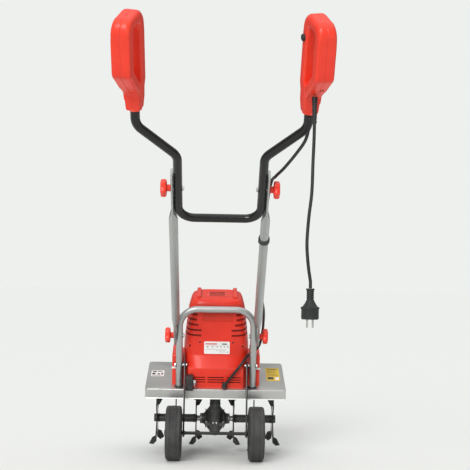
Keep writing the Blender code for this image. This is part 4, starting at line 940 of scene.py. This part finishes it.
label_low, label_high = cover_face(0.0, 0.249, -1), cover_face(0.0, 0.288, -1)
label_tip = math.atan2(label_high - label_low, 0.039)
rating = bmesh.new()
add_block(rating, (-0.0388, -0.0195, -0.0006), (0.0388, 0.0195, 0.0007))
corner_edges = [edge for edge in rating.edges if abs(edge.verts[0].co.z - edge.verts[1].co.z) > 0.0005]
bmesh.ops.bevel(rating, geom=corner_edges, offset=0.0032, offset_type="OFFSET", affect="EDGES", segments=5,
                profile=0.5, material=-1)
rating_marks = [(-0.0170, 0.0120, 0.0350, 0.0034, 1), (0.0230, 0.0120, 0.0150, 0.0034, 2),
                (0.0, 0.0072, 0.0690, 0.0003, 2)]
rating_marks += [(x, 0.0030, 0.0030, 0.0032, 2) for x in (-0.0280, -0.0130, 0.0010, 0.0120, 0.0225, 0.0330)]
rating_marks += [(-0.0150, -0.0050, 0.0340, 0.0010, 3), (0.0180, -0.0050, 0.0200, 0.0010, 3),
                 (0.0130, -0.0090, 0.0300, 0.0010, 3), (0.0200, -0.0130, 0.0260, 0.0010, 3),
                 (0.0335, -0.0130, 0.0026, 0.0026, 2)]
for x, y, wide, high, look in rating_marks:
    add_block(rating, (x - wide / 2, y - high / 2, 0.0006), (x + wide / 2, y + high / 2, 0.00085), look=look)
LABEL_GREY = finish("label_grey", (0.36, 0.36, 0.36), (0.46, 0.46, 0.46), 0.4, grain=500.0, depth=0.03)
rating_place = (CHASSIS @ Matrix.Translation((0.0018, (label_low + label_high) / 2 - 0.0002, 0.2685))
                @ Matrix.Rotation(math.radians(90.0) - label_tip, 4, "X"))
fit_piece("rating_label", rating, [LABEL_WHITE, LABEL_RED, LABEL_DARK, LABEL_GREY], "chassis", [],
          rating_place)

lid = bmesh.new()


def squircle(half_a, half_b, z, count=72, power=4.5):
    ring = []
    for index in range(count):
        turn = math.tau * (index + 0.5) / count
        across = math.copysign(abs(math.cos(turn)) ** (2.0 / power), math.cos(turn))
        along = math.copysign(abs(math.sin(turn)) ** (2.0 / power), math.sin(turn))
        ring.append((half_a * across, PARTING_Y + half_b * along, z))
    return ring


draw_through(lid, [squircle(a, b, z) for z, a, b in (
    (0.4003, 0.0740, 0.0600), (0.4003, 0.0783, 0.0638), (0.4008, 0.0785, 0.0640), (0.4060, 0.0762, 0.0620),
    (0.4095, 0.0745, 0.0604), (0.4108, 0.0730, 0.0590), (0.4150, 0.0650, 0.0512), (0.4163, 0.0625, 0.0488),
    (0.4165, 0.0600, 0.0465), (0.4160, 0.0520, 0.0420), (0.4146, 0.0500, 0.0400), (0.4144, 0.0460, 0.0360))])
for side in (-1, 1):
    add_block(lid, (side * 0.055 - 0.0062, PARTING_Y - 0.0440, 0.4105),
              (side * 0.055 + 0.0062, PARTING_Y + 0.0440, 0.4235), 0.0028, segments=4)
add_block(lid, (-0.030, PARTING_Y - 0.024, 0.4140), (0.030, PARTING_Y + 0.024, 0.4156), 0.0006)
# Near-black bars on the lid top: painted shade for its vent slots.
for step in range(5):
    y = PARTING_Y - 0.018 + 0.009 * step
    add_block(lid, (-0.024, y - 0.0015, 0.4153), (0.024, y + 0.0015, 0.4161), 0.0003, look=1)
fit_piece("housing_lid", lid, [HOUSING_RED, SLOT_PAINTED_SHADE], "chassis", ["motor_top_cap"], CHASSIS)

gland_seat = bmesh.new()
turn_profile(gland_seat, [(0.0, 0.0), (0.0, 0.0085), (0.0040, 0.0085), (0.0060, 0.0072), (0.0150, 0.0058),
                          (0.0170, 0.0050), (0.0170, 0.0)],
             Matrix.Translation(in_frame(0.0260, -0.1560, 0.2135)) @ Matrix.Rotation(math.radians(24.0), 4,
                                                                                     "X"), 32)
fit_piece("motor_lead_gland", gland_seat, [BLACK_MOULDING], "chassis", [])

# ------------------------------------------------------- frame round the motor
# One bent 20 mm tube welded to the guard, sprayed silver: the legs carry the wheel
# bracket and the handle. Each joint is a hexagon-headed bolt right through the leg.
ARCH_HALF_WIDTH = 0.1115
ARCH_Y = -0.0958
ARCH_TOP = 0.3921
SILVER_PAINT = finish("silver_paint", (0.400, 0.412, 0.402), (0.440, 0.452, 0.442), 0.36, metallic=0.75,
                      mottle=14.0, grain=700.0, depth=0.012, coat=0.15)


def bent_route(corners, radius, steps):
    """Straight runs with an arc of the bending radius at each corner."""
    route = [corners[0]]
    for before, here, after in zip(corners, corners[1:], corners[2:]):
        back = (before - here).normalized()
        onward = (after - here).normalized()
        half = back.angle(onward) / 2.0
        centre = here + (back + onward).normalized() * (radius / math.sin(half))
        first = here + back * (radius / math.tan(half)) - centre
        last = here + onward * (radius / math.tan(half)) - centre
        sweep = first.angle(last)
        for step in range(steps + 1):
            part = step / steps
            route.append(centre + (first * math.sin((1.0 - part) * sweep)
                                   + last * math.sin(part * sweep)) / math.sin(sweep))
    route.append(corners[-1])
    return route


arch = bmesh.new()
arch_route = bent_route([Vector((x, ARCH_Y, z)) for x, z in (
    (-ARCH_HALF_WIDTH, BASE_BOTTOM + 0.0002), (-ARCH_HALF_WIDTH, ARCH_TOP), (ARCH_HALF_WIDTH, ARCH_TOP),
    (ARCH_HALF_WIDTH, BASE_BOTTOM + 0.0002))], 0.055, 14)
draw_through(arch, hose_sections(arch_route, 0.010, 40))
fit_piece("arch_tube", arch, [SILVER_PAINT], "chassis", ["arch_frame"], CHASSIS)
for side_name, side in (("left", -1), ("right", 1)):
    foot = bmesh.new()
    turn_profile(foot, [(0.0, 0.0105), (0.0, 0.0136), (0.0012, 0.0140), (0.0030, 0.0132), (0.0046, 0.0114),
                        (0.0050, 0.0102)], Matrix.Translation((side * ARCH_HALF_WIDTH, ARCH_Y, BASE_BOTTOM)),
                 40)
    fit_piece("arch_foot_" + side_name, foot, [BLACK_MOULDING], "chassis", [], CHASSIS)

PIVOT_HEIGHT = 0.215
for side_name, side, facing in (("left", -1, AGAINST_X), ("right", 1, ALONG_X)):
    pivot_screw = bmesh.new()
    face_x = ARCH_HALF_WIDTH + 0.0103
    add_hex_screw(pivot_screw, facing @ Matrix.Translation((0.0, 0.0, face_x - 0.0002)), 0.0118, 0.0034)
    turn_profile(pivot_screw,
                 [(0.0895, 0.0), (0.0895, 0.0036), (0.0899, 0.0040), (face_x, 0.0040), (face_x, 0.0)],
                 facing, 24)
    add_hex_screw(pivot_screw,
                  facing @ Matrix.Translation((0.0, 0.0, 0.0912)) @ Matrix.Rotation(math.pi, 4, "X"),
                  0.0100, 0.0030)
    fit_piece("pivot_screw_" + side_name, pivot_screw, [BRIGHT_STEEL], "chassis", ["pivot_bolt_" + side_name],
              CHASSIS @ Matrix.Translation((0.0, ARCH_Y, PIVOT_HEIGHT)))
    clamp_screw = bmesh.new()
    inner_x = ARCH_HALF_WIDTH - 0.0103
    add_hex_screw(clamp_screw,
                  facing @ Matrix.Translation((0.0, 0.0, inner_x)) @ Matrix.Rotation(math.pi, 4, "X"),
                  0.0118, 0.0034)
    turn_profile(clamp_screw,
                 [(inner_x, 0.0), (inner_x, 0.0040), (0.1385, 0.0040), (0.1390, 0.0036), (0.1390, 0.0)],
                 facing, 24)
    fit_piece("clamp_screw_lower_" + side_name, clamp_screw, [BRIGHT_STEEL], "lower_handle",
              ["lower_bolt_" + side_name], Matrix.Translation(LOWER_PIVOT))

# --------------------------------------------------- wheel bracket and its lock
# Two flat black arms hang from the frame's legs and carry the axle. A sprung plunger
# through a moulded block on the guard holds them down or folded up.
AXLE = in_frame(0.0, -0.1919, 0.0805)
axle_in_chassis = CHASSIS.inverted() @ AXLE
pivot_in_chassis = Vector((0.0, ARCH_Y, PIVOT_HEIGHT))
hang = (axle_in_chassis - pivot_in_chassis).normalized()
arm_length = (axle_in_chassis - pivot_in_chassis).length
arm_turn = Matrix((Vector((1.0, 0.0, 0.0)), hang.cross(Vector((1.0, 0.0, 0.0))) * -1.0,
                   -hang)).transposed().to_4x4()
ARM_ENAMEL = finish("arm_enamel", (0.012, 0.012, 0.012), (0.026, 0.026, 0.026), 0.30, mottle=24.0,
                    grain=1500.0, depth=0.10, coat=0.2, edge_wear_and_sheen=(0.20, 0.20, 0.20), edge_wear_and_sheen_from=0.56)
for side_name, side in (("left", -1), ("right", 1)):
    arm = bmesh.new()
    add_block(arm, (-0.0025, -0.012, -arm_length / 2 - 0.012), (0.0025, 0.012, arm_length / 2 + 0.012))
    across = [edge for edge in arm.edges if abs(edge.verts[0].co.x - edge.verts[1].co.x) > 0.004]
    bmesh.ops.bevel(arm, geom=across, offset=0.0117, offset_type="OFFSET", affect="EDGES", segments=12,
                    profile=0.5, material=-1)
    outer_rims = [edge for edge in arm.edges if abs(edge.verts[0].co.x - edge.verts[1].co.x) < 0.0001
                  and edge.calc_face_angle(0.0) > 1.0]
    bmesh.ops.bevel(arm, geom=outer_rims, offset=0.0006, offset_type="OFFSET", affect="EDGES", segments=2,
                    profile=0.5, material=-1)
    for end in (-1, 1):
        turn_profile(arm, [(-0.0032, 0.0046), (-0.0032, 0.0078), (-0.0026, 0.0084), (0.0026, 0.0084),
                           (0.0032, 0.0078), (0.0032, 0.0046)],
                     Matrix.Translation((0.0, 0.0, end * arm_length / 2)) @ ALONG_X, 32)
    middle = (axle_in_chassis + pivot_in_chassis) / 2.0
    fit_piece("swing_arm_" + side_name, arm, [ARM_ENAMEL], "wheel_bracket", ["bracket_arm_" + side_name],
              CHASSIS @ Matrix.Translation(middle + Vector((side * 0.094, 0.0, 0.0)))
              @ arm_turn)

axle = bmesh.new()
cap_x = 0.1232 + 0.0235 + 0.0006
axle_profile = [(-cap_x - 0.0040, 0.0), (-cap_x - 0.0040, 0.0060), (-cap_x - 0.0032, 0.0080),
                (-cap_x - 0.0018, 0.0090), (-cap_x, 0.0090), (-cap_x, 0.0048)]
axle_profile += [(-0.0905, 0.0048), (-0.0905, 0.0068), (-0.0885, 0.0068), (-0.0885, 0.0048)]
axle_profile += [(-along, radius) for along, radius in axle_profile[::-1]]
turn_profile(axle, axle_profile, ALONG_X, 40)
fit_piece("wheel_axle_rod", axle, [ARM_ENAMEL], "wheel_bracket", ["wheel_axle"],
          Matrix.Translation(AXLE))

block_face = -0.094 + 0.0025
part_way = (PIVOT_HEIGHT - 0.170) / (PIVOT_HEIGHT - axle_in_chassis.z)
PIN_Y = ARCH_Y + part_way * (axle_in_chassis.y - ARCH_Y)
lock = bmesh.new()
add_block(lock, (block_face + 0.0015, PIN_Y - 0.012, BASE_BOTTOM), (-0.0685, -0.1069, 0.190), 0.0016,
          segments=3)
add_block(lock, (block_face + 0.0040, PIN_Y - 0.0126, 0.1500), (-0.0710, PIN_Y - 0.0110, 0.1600), 0.0005)
add_block(lock, (block_face + 0.0040, PIN_Y - 0.0126, 0.1780), (-0.0710, PIN_Y - 0.0110, 0.1860), 0.0005)
turn_profile(lock, [(-0.0690, 0.0030), (-0.0690, 0.0062), (-0.0680, 0.0062), (-0.0676, 0.0056),
                    (-0.0676, 0.0030)],
             Matrix.Translation((0.0, PIN_Y, 0.170)) @ ALONG_X, 28)
fit_piece("lock_housing", lock, [BLACK_MOULDING], "chassis", ["lock_block"], CHASSIS)
plunger = bmesh.new()
turn_profile(plunger, [(block_face + 0.0003, 0.0), (block_face + 0.0003, 0.0022),
                       (block_face + 0.0012, 0.0030),
                       (-0.0672, 0.0030), (-0.0672, 0.0060), (-0.0666, 0.0065), (-0.0606, 0.0065),
                       (-0.0600, 0.0058),
                       (-0.0600, 0.0)], Matrix.Translation((0.0, PIN_Y, 0.170)) @ ALONG_X, 28)
ring_wire = [Vector((-0.0632, PIN_Y + 0.0075 * math.sin(math.tau * step / 20),
                     0.1625 - 0.0115 * math.cos(math.tau * step / 20) + 0.0)) for step in range(21)]
draw_through(plunger, hose_sections(ring_wire, 0.0009, 10))
clip_wire = [Vector((-0.0632, PIN_Y - 0.0068, 0.1760)), Vector((-0.0620, PIN_Y - 0.0080, 0.1690)),
             Vector((-0.0655, PIN_Y - 0.0085, 0.1610)), Vector((-0.0610, PIN_Y - 0.0088, 0.1540)),
             Vector((-0.0640, PIN_Y - 0.0080, 0.1500))]
draw_through(plunger, hose_sections(smooth_route(clip_wire, 0.002), 0.0010, 10))
fit_piece("lock_plunger", plunger, [BRIGHT_STEEL], "lock_pin", ["lock_pin"], CHASSIS)

# -------------------------------------------------------------------- wheels
# Solid moulded wheels, near-black, with a banded tread, a raised shoulder and pockets
# between the spokes. Each turns on the fixed axle behind a pressed cap.
TYRE = finish("wheel_moulding", (0.030, 0.031, 0.030), (0.058, 0.059, 0.057), 0.62, mottle=26.0, grain=900.0,
              depth=0.35, edge_wear_and_sheen=(0.12, 0.12, 0.118), edge_wear_and_sheen_from=0.54)
for side_name, side in (("left", -1), ("right", 1)):
    wheel = bmesh.new()
    half = [(0.0235, 0.0051), (0.0235, 0.0118), (0.0229, 0.0128), (0.0105, 0.0152), (0.0080, 0.0175),
            (0.0075, 0.0200),
            (0.0075, 0.0530), (0.0085, 0.0560), (0.0205, 0.0605), (0.0222, 0.0625), (0.0235, 0.0670),
            (0.0234, 0.0715), (0.0224, 0.0755), (0.0205, 0.0782), (0.0185, 0.0798), (0.0110, 0.0803),
            (0.0102, 0.0796), (0.0088, 0.0796), (0.0080, 0.0804), (0.0010, 0.0805)]
    turn_profile(wheel, half + [(-along, radius) for along, radius in half[::-1]] + [half[0]], ALONG_X, 120)
    bmesh.ops.remove_doubles(wheel, verts=wheel.verts, dist=1e-6)
    bmesh.ops.recalc_face_normals(wheel, faces=wheel.faces)
    pockets = []
    for face in wheel.faces:
        centre = face.calc_center_median()
        radius = math.hypot(centre.y, centre.z)
        turn = math.atan2(centre.z, centre.y) % math.tau
        if 0.0200 < radius < 0.0530 and (turn / math.tau * 6.0) % 1.0 > 0.22:
            pockets.append(face)
    sunk = bmesh.ops.extrude_face_region(wheel, geom=pockets)["geom"]
    bmesh.ops.delete(wheel, geom=pockets, context="FACES_ONLY")
    for vert in (item for item in sunk if isinstance(item, bmesh.types.BMVert)):
        vert.co.x -= math.copysign(0.0030, vert.co.x)
    place = Matrix.Translation(AXLE + Vector((side * 0.1232, 0.0, 0.0)))
    fit_piece("road_wheel_" + side_name, wheel, [TYRE], "wheel_" + side_name, ["wheel_" + side_name],
              place)

# ----------------------------------------------------------------- lower handle
# Two round silver tubes pressed flat at both ends for the clamp screws. The flats lie
# outside the frame below and outside the black tube above.
FLAT_SIZE = (0.0032, 0.0165, 4.0)
PRESSED_SIZE = (0.0070, 0.0148, 2.6)
ROUND_SIZE = (0.012, 0.012, 2.0)
tube_length = (UPPER_PIVOT - LOWER_PIVOT).length
TUBE_STATIONS = (
    (-0.0300, 0.1255, (0.0026, 0.0155, 4.0)), (-0.0292, 0.1255, FLAT_SIZE), (0.046, 0.1255, FLAT_SIZE),
    (0.056, 0.1248, (0.0048, 0.0159, 3.2)), (0.066, 0.1240, PRESSED_SIZE),
                 (0.077, 0.1226, (0.0098, 0.0132, 2.2)),
    (0.088, 0.1215, ROUND_SIZE), (0.30, 0.1212, ROUND_SIZE), (tube_length - 0.118, 0.1210, ROUND_SIZE),
    (tube_length - 0.107, 0.1214, (0.0098, 0.0132, 2.2)), (tube_length - 0.096, 0.1220, PRESSED_SIZE),
    (tube_length - 0.088, 0.1222, (0.0048, 0.0159, 3.2)), (tube_length - 0.078, 0.1224, FLAT_SIZE),
    (tube_length + 0.0542, 0.1224, FLAT_SIZE), (tube_length + 0.0550, 0.1224, (0.0026, 0.0155, 4.0)))
for side_name, side, facing in (("left", -1, AGAINST_X), ("right", 1, ALONG_X)):
    tube = bmesh.new()
    sections = []
    for distance, x, (half_x, half_w, power) in TUBE_STATIONS:
        ring = []
        for index in range(40):
            turn = math.tau * (index + 0.5) / 40
            a = half_x * math.copysign(abs(math.cos(turn)) ** (2.0 / power), math.cos(turn))
            b = half_w * math.copysign(abs(math.sin(turn)) ** (2.0 / power), math.sin(turn))
            ring.append(LOWER_PIVOT + tube_run * distance + tube_over * b + Vector((side * x + a, 0.0, 0.0)))
        sections.append(ring)
    draw_through(tube, sections)
    fit_piece("handle_tube_" + side_name, tube, [SILVER_PAINT], "lower_handle", ["lower_tube_" + side_name],
              crisp=40.0)
    screw = bmesh.new()
    inner_x = 0.1074 - 0.01125 - 0.0003
    add_hex_screw(screw, facing @ Matrix.Translation((0.0, 0.0, inner_x)) @ Matrix.Rotation(math.pi, 4, "X"),
                  0.0118, 0.0034)
    turn_profile(screw, [(inner_x, 0.0), (inner_x, 0.0040), (0.1355, 0.0040), (0.1360, 0.0036),
                         (0.1360, 0.0)],
                 facing, 24)
    fit_piece("clamp_screw_upper_" + side_name, screw, [BRIGHT_STEEL], "lower_handle",
              ["upper_bolt_" + side_name], Matrix.Translation(UPPER_PIVOT))

# ----------------------------------------------------------------- clamp knobs
# Five-lobed red hand knobs moulded over a nut, one on each clamp screw. The lobes are
# softly rounded, with a dished cap in the middle.
KNOB_RED = finish("knob_red", (0.780, 0.036, 0.018), (0.880, 0.052, 0.026), 0.34, mottle=40.0, grain=1600.0,
                  depth=0.14, coat=0.15, edge_wear_and_sheen=(0.86, 0.14, 0.10), edge_wear_and_sheen_from=0.54)
KNOB_LEVELS = ((0.0, 0.0045, 0.0), (0.0, 0.0082, 0.0), (0.0006, 0.0090, 0.0), (0.0080, 0.0087, 0.0),
               (0.0092, 0.0098, 0.02), (0.0098, 0.0150, 0.08), (0.0104, 0.0184, 0.10),
               (0.0118, 0.0203, 0.115),
               (0.0140, 0.0212, 0.12), (0.0215, 0.0212, 0.12), (0.0238, 0.0203, 0.115),
               (0.0251, 0.0186, 0.10),
               (0.0255, 0.0165, 0.08), (0.0254, 0.0130, 0.03), (0.0240, 0.0118, 0.0), (0.0238, 0.0100, 0.0),
               (0.0240, 0.0050, 0.0), (0.0241, 0.0006, 0.0))
for place_name, pivot, flat_x in (("lower", LOWER_PIVOT, 0.1255), ("upper", UPPER_PIVOT, 0.1224)):
    for side_name, side in (("left", -1), ("right", 1)):
        knob = bmesh.new()
        sections = []
        for x, radius, lobe in KNOB_LEVELS:
            ring = []
            for index in range(80):
                turn = math.tau * index / 80
                reach = radius * (1.0 + lobe * math.cos(5.0 * turn))
                ring.append((side * x, reach * math.cos(turn), reach * math.sin(turn)))
            sections.append(ring)
        draw_through(knob, sections)
        name = "%s_knob_%s" % (place_name, side_name)
        fit_piece("hand_%s" % name, knob, [KNOB_RED], name, [name],
                  Matrix.Translation(pivot + Vector((side * (flat_x + 0.0035), 0.0, 0.0))), crisp=45.0)

# ----------------------------------------------------------------- upper handle
# One 22.5 mm tube bent to a crossbar, two arms and an outward crank up to each grip.
# Gloss black powder coat, rubbed thin where the silver flats clamp it.
GLOSS_BLACK = finish("gloss_black", (0.007, 0.007, 0.007), (0.012, 0.012, 0.012), 0.20, mottle=12.0,
                     grain=1200.0, depth=0.03, coat=0.2, edge_wear_and_sheen=(0.06, 0.06, 0.06), edge_wear_and_sheen_from=0.58)
GRIP_LEAN = math.radians(33.0)
GRIP_BASE = in_frame(0.2058, -0.8727, 0.9376)
up_the_grip = Vector((0.0, -math.sin(GRIP_LEAN), math.cos(GRIP_LEAN)))
right_half = [in_frame(0.1074, -0.600, 0.6995), in_frame(0.1074, -0.7725, 0.8400),
              in_frame(0.2057, -0.8506, 0.9035), GRIP_BASE + up_the_grip * 0.055]
left_half = [Vector((-point.x, point.y, point.z)) for point in right_half[::-1]]
handlebar = bmesh.new()
draw_through(handlebar, hose_sections(bent_route(left_half + right_half, 0.042, 12), 0.01125, 40))
fit_piece("handle_bar", handlebar, [GLOSS_BLACK], "upper_handle", ["upper_tube"])

# ----------------------------------------------------------------------- grips
# Two red loop grips, each moulded in halves that close over the tube, with a stepped
# neck and collar. The right one holds the switch lever and its lock-off button.
GRIP_RED = finish("grip_red", (0.790, 0.038, 0.018), (0.880, 0.052, 0.025), 0.40, mottle=18.0, grain=1500.0,
                  depth=0.22, coat=0.10, edge_wear_and_sheen=(0.92, 0.17, 0.11), edge_wear_and_sheen_from=0.53)
GRIP_OUTER = ((-0.0175, 0.0, 0.004), (0.0175, 0.0, 0.004), (0.023, 0.044, 0.012),
              (0.092, 0.112, 0.018), (0.093, 0.240, 0.032), (-0.0175, 0.246, 0.032))
GRIP_OPENING = ((0.0125, 0.085, 0.004), (0.0150, 0.077, 0.002), (0.026, 0.078, 0.005),
                (0.064, 0.120, 0.012), (0.065, 0.212, 0.016), (0.0125, 0.214, 0.016))
GRIP_HIGH = 0.0225
GRIP_EDGE = 0.0050
GRIP_EDGE_GROWTH = 0.0075
GRIP_TOP_FROM = 0.190
GRIP_TOP_RISE = 0.045
NECK_STEPS = ((0.0, 0.70), (0.0025, 0.74), (0.0265, 0.74), (0.0295, 0.86), (0.0600, 0.88), (0.0680, 1.0))


def fill_out(outline):
    """The outline with four more points along each of its long sides."""
    dense = []
    for index, point in enumerate(outline):
        here, onward = Vector(point), Vector(outline[(index + 1) % len(outline)])
        dense.append(here)
        if index % 7 == 6:
            dense += [here.lerp(onward, step / 9) for step in range(1, 9)]
    return dense


def neck_share(v):
    """How much of the grip's full thickness it has at a height: collar, neck block, loop."""
    for (low, thin), (high, thick) in zip(NECK_STEPS, NECK_STEPS[1:]):
        if v <= high:
            return thin + (thick - thin) * max(0.0, v - low) / (high - low)
    return 1.0


def grip_section(width, soft):
    """Half of the loop's cross-section: parting line, rounded shoulder, flat side, back again."""
    shoulder = GRIP_HIGH - soft
    section = [(0.0005, 0.0), (0.0004, 0.0004), (0.0001, 0.0009), (0.0, 0.0018), (0.0, shoulder)]
    for step in range(1, 6):
        turn = math.radians(18.0 * step)
        section.append((soft * (1.0 - math.cos(turn)), shoulder + soft * math.sin(turn)))
    for step in range(0, 6):
        turn = math.radians(18.0 * step)
        section.append((width - soft * (1.0 - math.sin(turn)), shoulder + soft * math.cos(turn)))
    section += [(width, 0.0030), (width - 0.0006, 0.0), (width - 0.0030, 0.0), (width - 0.0030, 0.0110),
                (width - 0.0090, GRIP_HIGH - 0.0030), (0.0090, GRIP_HIGH - 0.0030), (0.0030, 0.0110),
                (0.0030, 0.0)]
    return section


for side_name, side in (("left", -1), ("right", 1)):
    toe = side * math.radians(14.0)
    base_point = Vector((side * GRIP_BASE.x, GRIP_BASE.y, GRIP_BASE.z))
    grip_place = (Matrix.Translation(base_point) @ Matrix.Rotation(GRIP_LEAN, 4, "X")
                  @ Matrix.Rotation(toe, 4, "Z"))
    for half_name, facing in (("inner", -side), ("outer", side)):
        shell = bmesh.new()
        outer = fill_out(rounded_outline(GRIP_OUTER, 6))
        opening = fill_out(rounded_outline(GRIP_OPENING, 6))
        sections = []
        for rim_point, hole_point in zip(outer, opening):
            across = hole_point - rim_point
            width = across.length
            across = across.normalized()
            top_share = max(0.0, min(1.0, (rim_point.y - GRIP_TOP_FROM) / GRIP_TOP_RISE))
            ring = []
            for inward, height in grip_section(width, GRIP_EDGE + GRIP_EDGE_GROWTH * top_share):
                point = rim_point + across * inward
                ring.append((facing * (0.00015 + height * neck_share(point.y)), -point.x, point.y))
            sections.append(ring)
        draw_through(shell, sections + [sections[0]], caps=False)
        fit_piece("grip_%s_%s_half" % (side_name, half_name), shell, [GRIP_RED], "upper_handle",
                  ["grip_%s_%s" % (side_name, half_name)], grip_place, crisp=38.0)
    collar = bmesh.new()
    collar_rings = []
    for v, half_x, half_u in ((-0.0012, 0.0125, 0.0130), (-0.0012, 0.0158, 0.0170), (0.0, 0.0170, 0.0182),
                              (0.0050, 0.0172, 0.0186), (0.0065, 0.0165, 0.0178), (0.0065, 0.0125, 0.0130)):
        collar_rings.append([(half_x * math.cos(math.tau * step / 48),
                              half_u * math.sin(math.tau * step / 48), v)
                             for step in range(48)])
    draw_through(collar, collar_rings + [collar_rings[0]], caps=False)
    fit_piece("grip_collar_" + side_name, collar, [GRIP_RED], "upper_handle", [], grip_place)
    if side_name == "right":
        # Near-black bars on the right grip: painted shade for its vents.
        vents = bmesh.new()
        slant = Matrix.Translation((0.0, -0.0560, 0.0762)) @ Matrix.Rotation(math.radians(-45.0), 4, "X")
        for x in (0.0045, 0.0105):
            bar = add_block(vents, (x - 0.0011, -0.0045, -0.0012), (x + 0.0011, 0.0045, 0.0006), 0.0004)
            bmesh.ops.transform(vents, matrix=slant @ Matrix.Rotation(math.pi, 4, "X"), verts=bar)
        fit_piece("grip_right_vents", vents, [SLOT_PAINTED_SHADE], "upper_handle", [], grip_place)
        lever = bmesh.new()
        lever_outline = rounded_outline([(0.049, 0.130, 0.003), (0.0575, 0.130, 0.003),
                                         (0.0605, 0.200, 0.003),
                                         (0.0605, 0.2265, 0.004), (0.0505, 0.2265, 0.004),
                                         (0.049, 0.200, 0.003)], 6)
        face = lever.faces.new([lever.verts.new((-0.0070, -u, v)) for u, v in lever_outline])
        grown = bmesh.ops.extrude_face_region(lever, geom=[face])["geom"]
        for vert in (item for item in grown if isinstance(item, bmesh.types.BMVert)):
            vert.co.x = 0.0070
        bmesh.ops.recalc_face_normals(lever, faces=lever.faces)
        rims = [edge for edge in lever.edges if edge.calc_face_angle(0.0) > 1.0]
        bmesh.ops.bevel(lever, geom=rims, offset=0.0012, offset_type="OFFSET", affect="EDGES", segments=3,
                        profile=0.5, material=-1)
        fit_piece("trigger_lever", lever, [BLACK_MOULDING], "switch_lever", ["switch_lever"],
                  grip_place)
        button = bmesh.new()
        turn_profile(button, [(0.0140, 0.0), (0.0140, 0.0085), (0.0262, 0.0085), (0.0276, 0.0080),
                              (0.0286, 0.0070),
                              (0.0290, 0.0056), (0.0286, 0.0040), (0.0284, 0.0)], AGAINST_X, 40)
        for step in range(5):
            y = -0.0048 + 0.0024 * step
            add_block(button, (-0.0293, y - 0.0005, -0.0040), (-0.0280, y + 0.0005, 0.0040), 0.0002)
        fit_piece("lock_off_plunger", button, [BLACK_MOULDING], "lock_off_button", ["lock_off_button"],
                  grip_place @ Matrix.Translation((0.0, 0.0025, 0.185)))
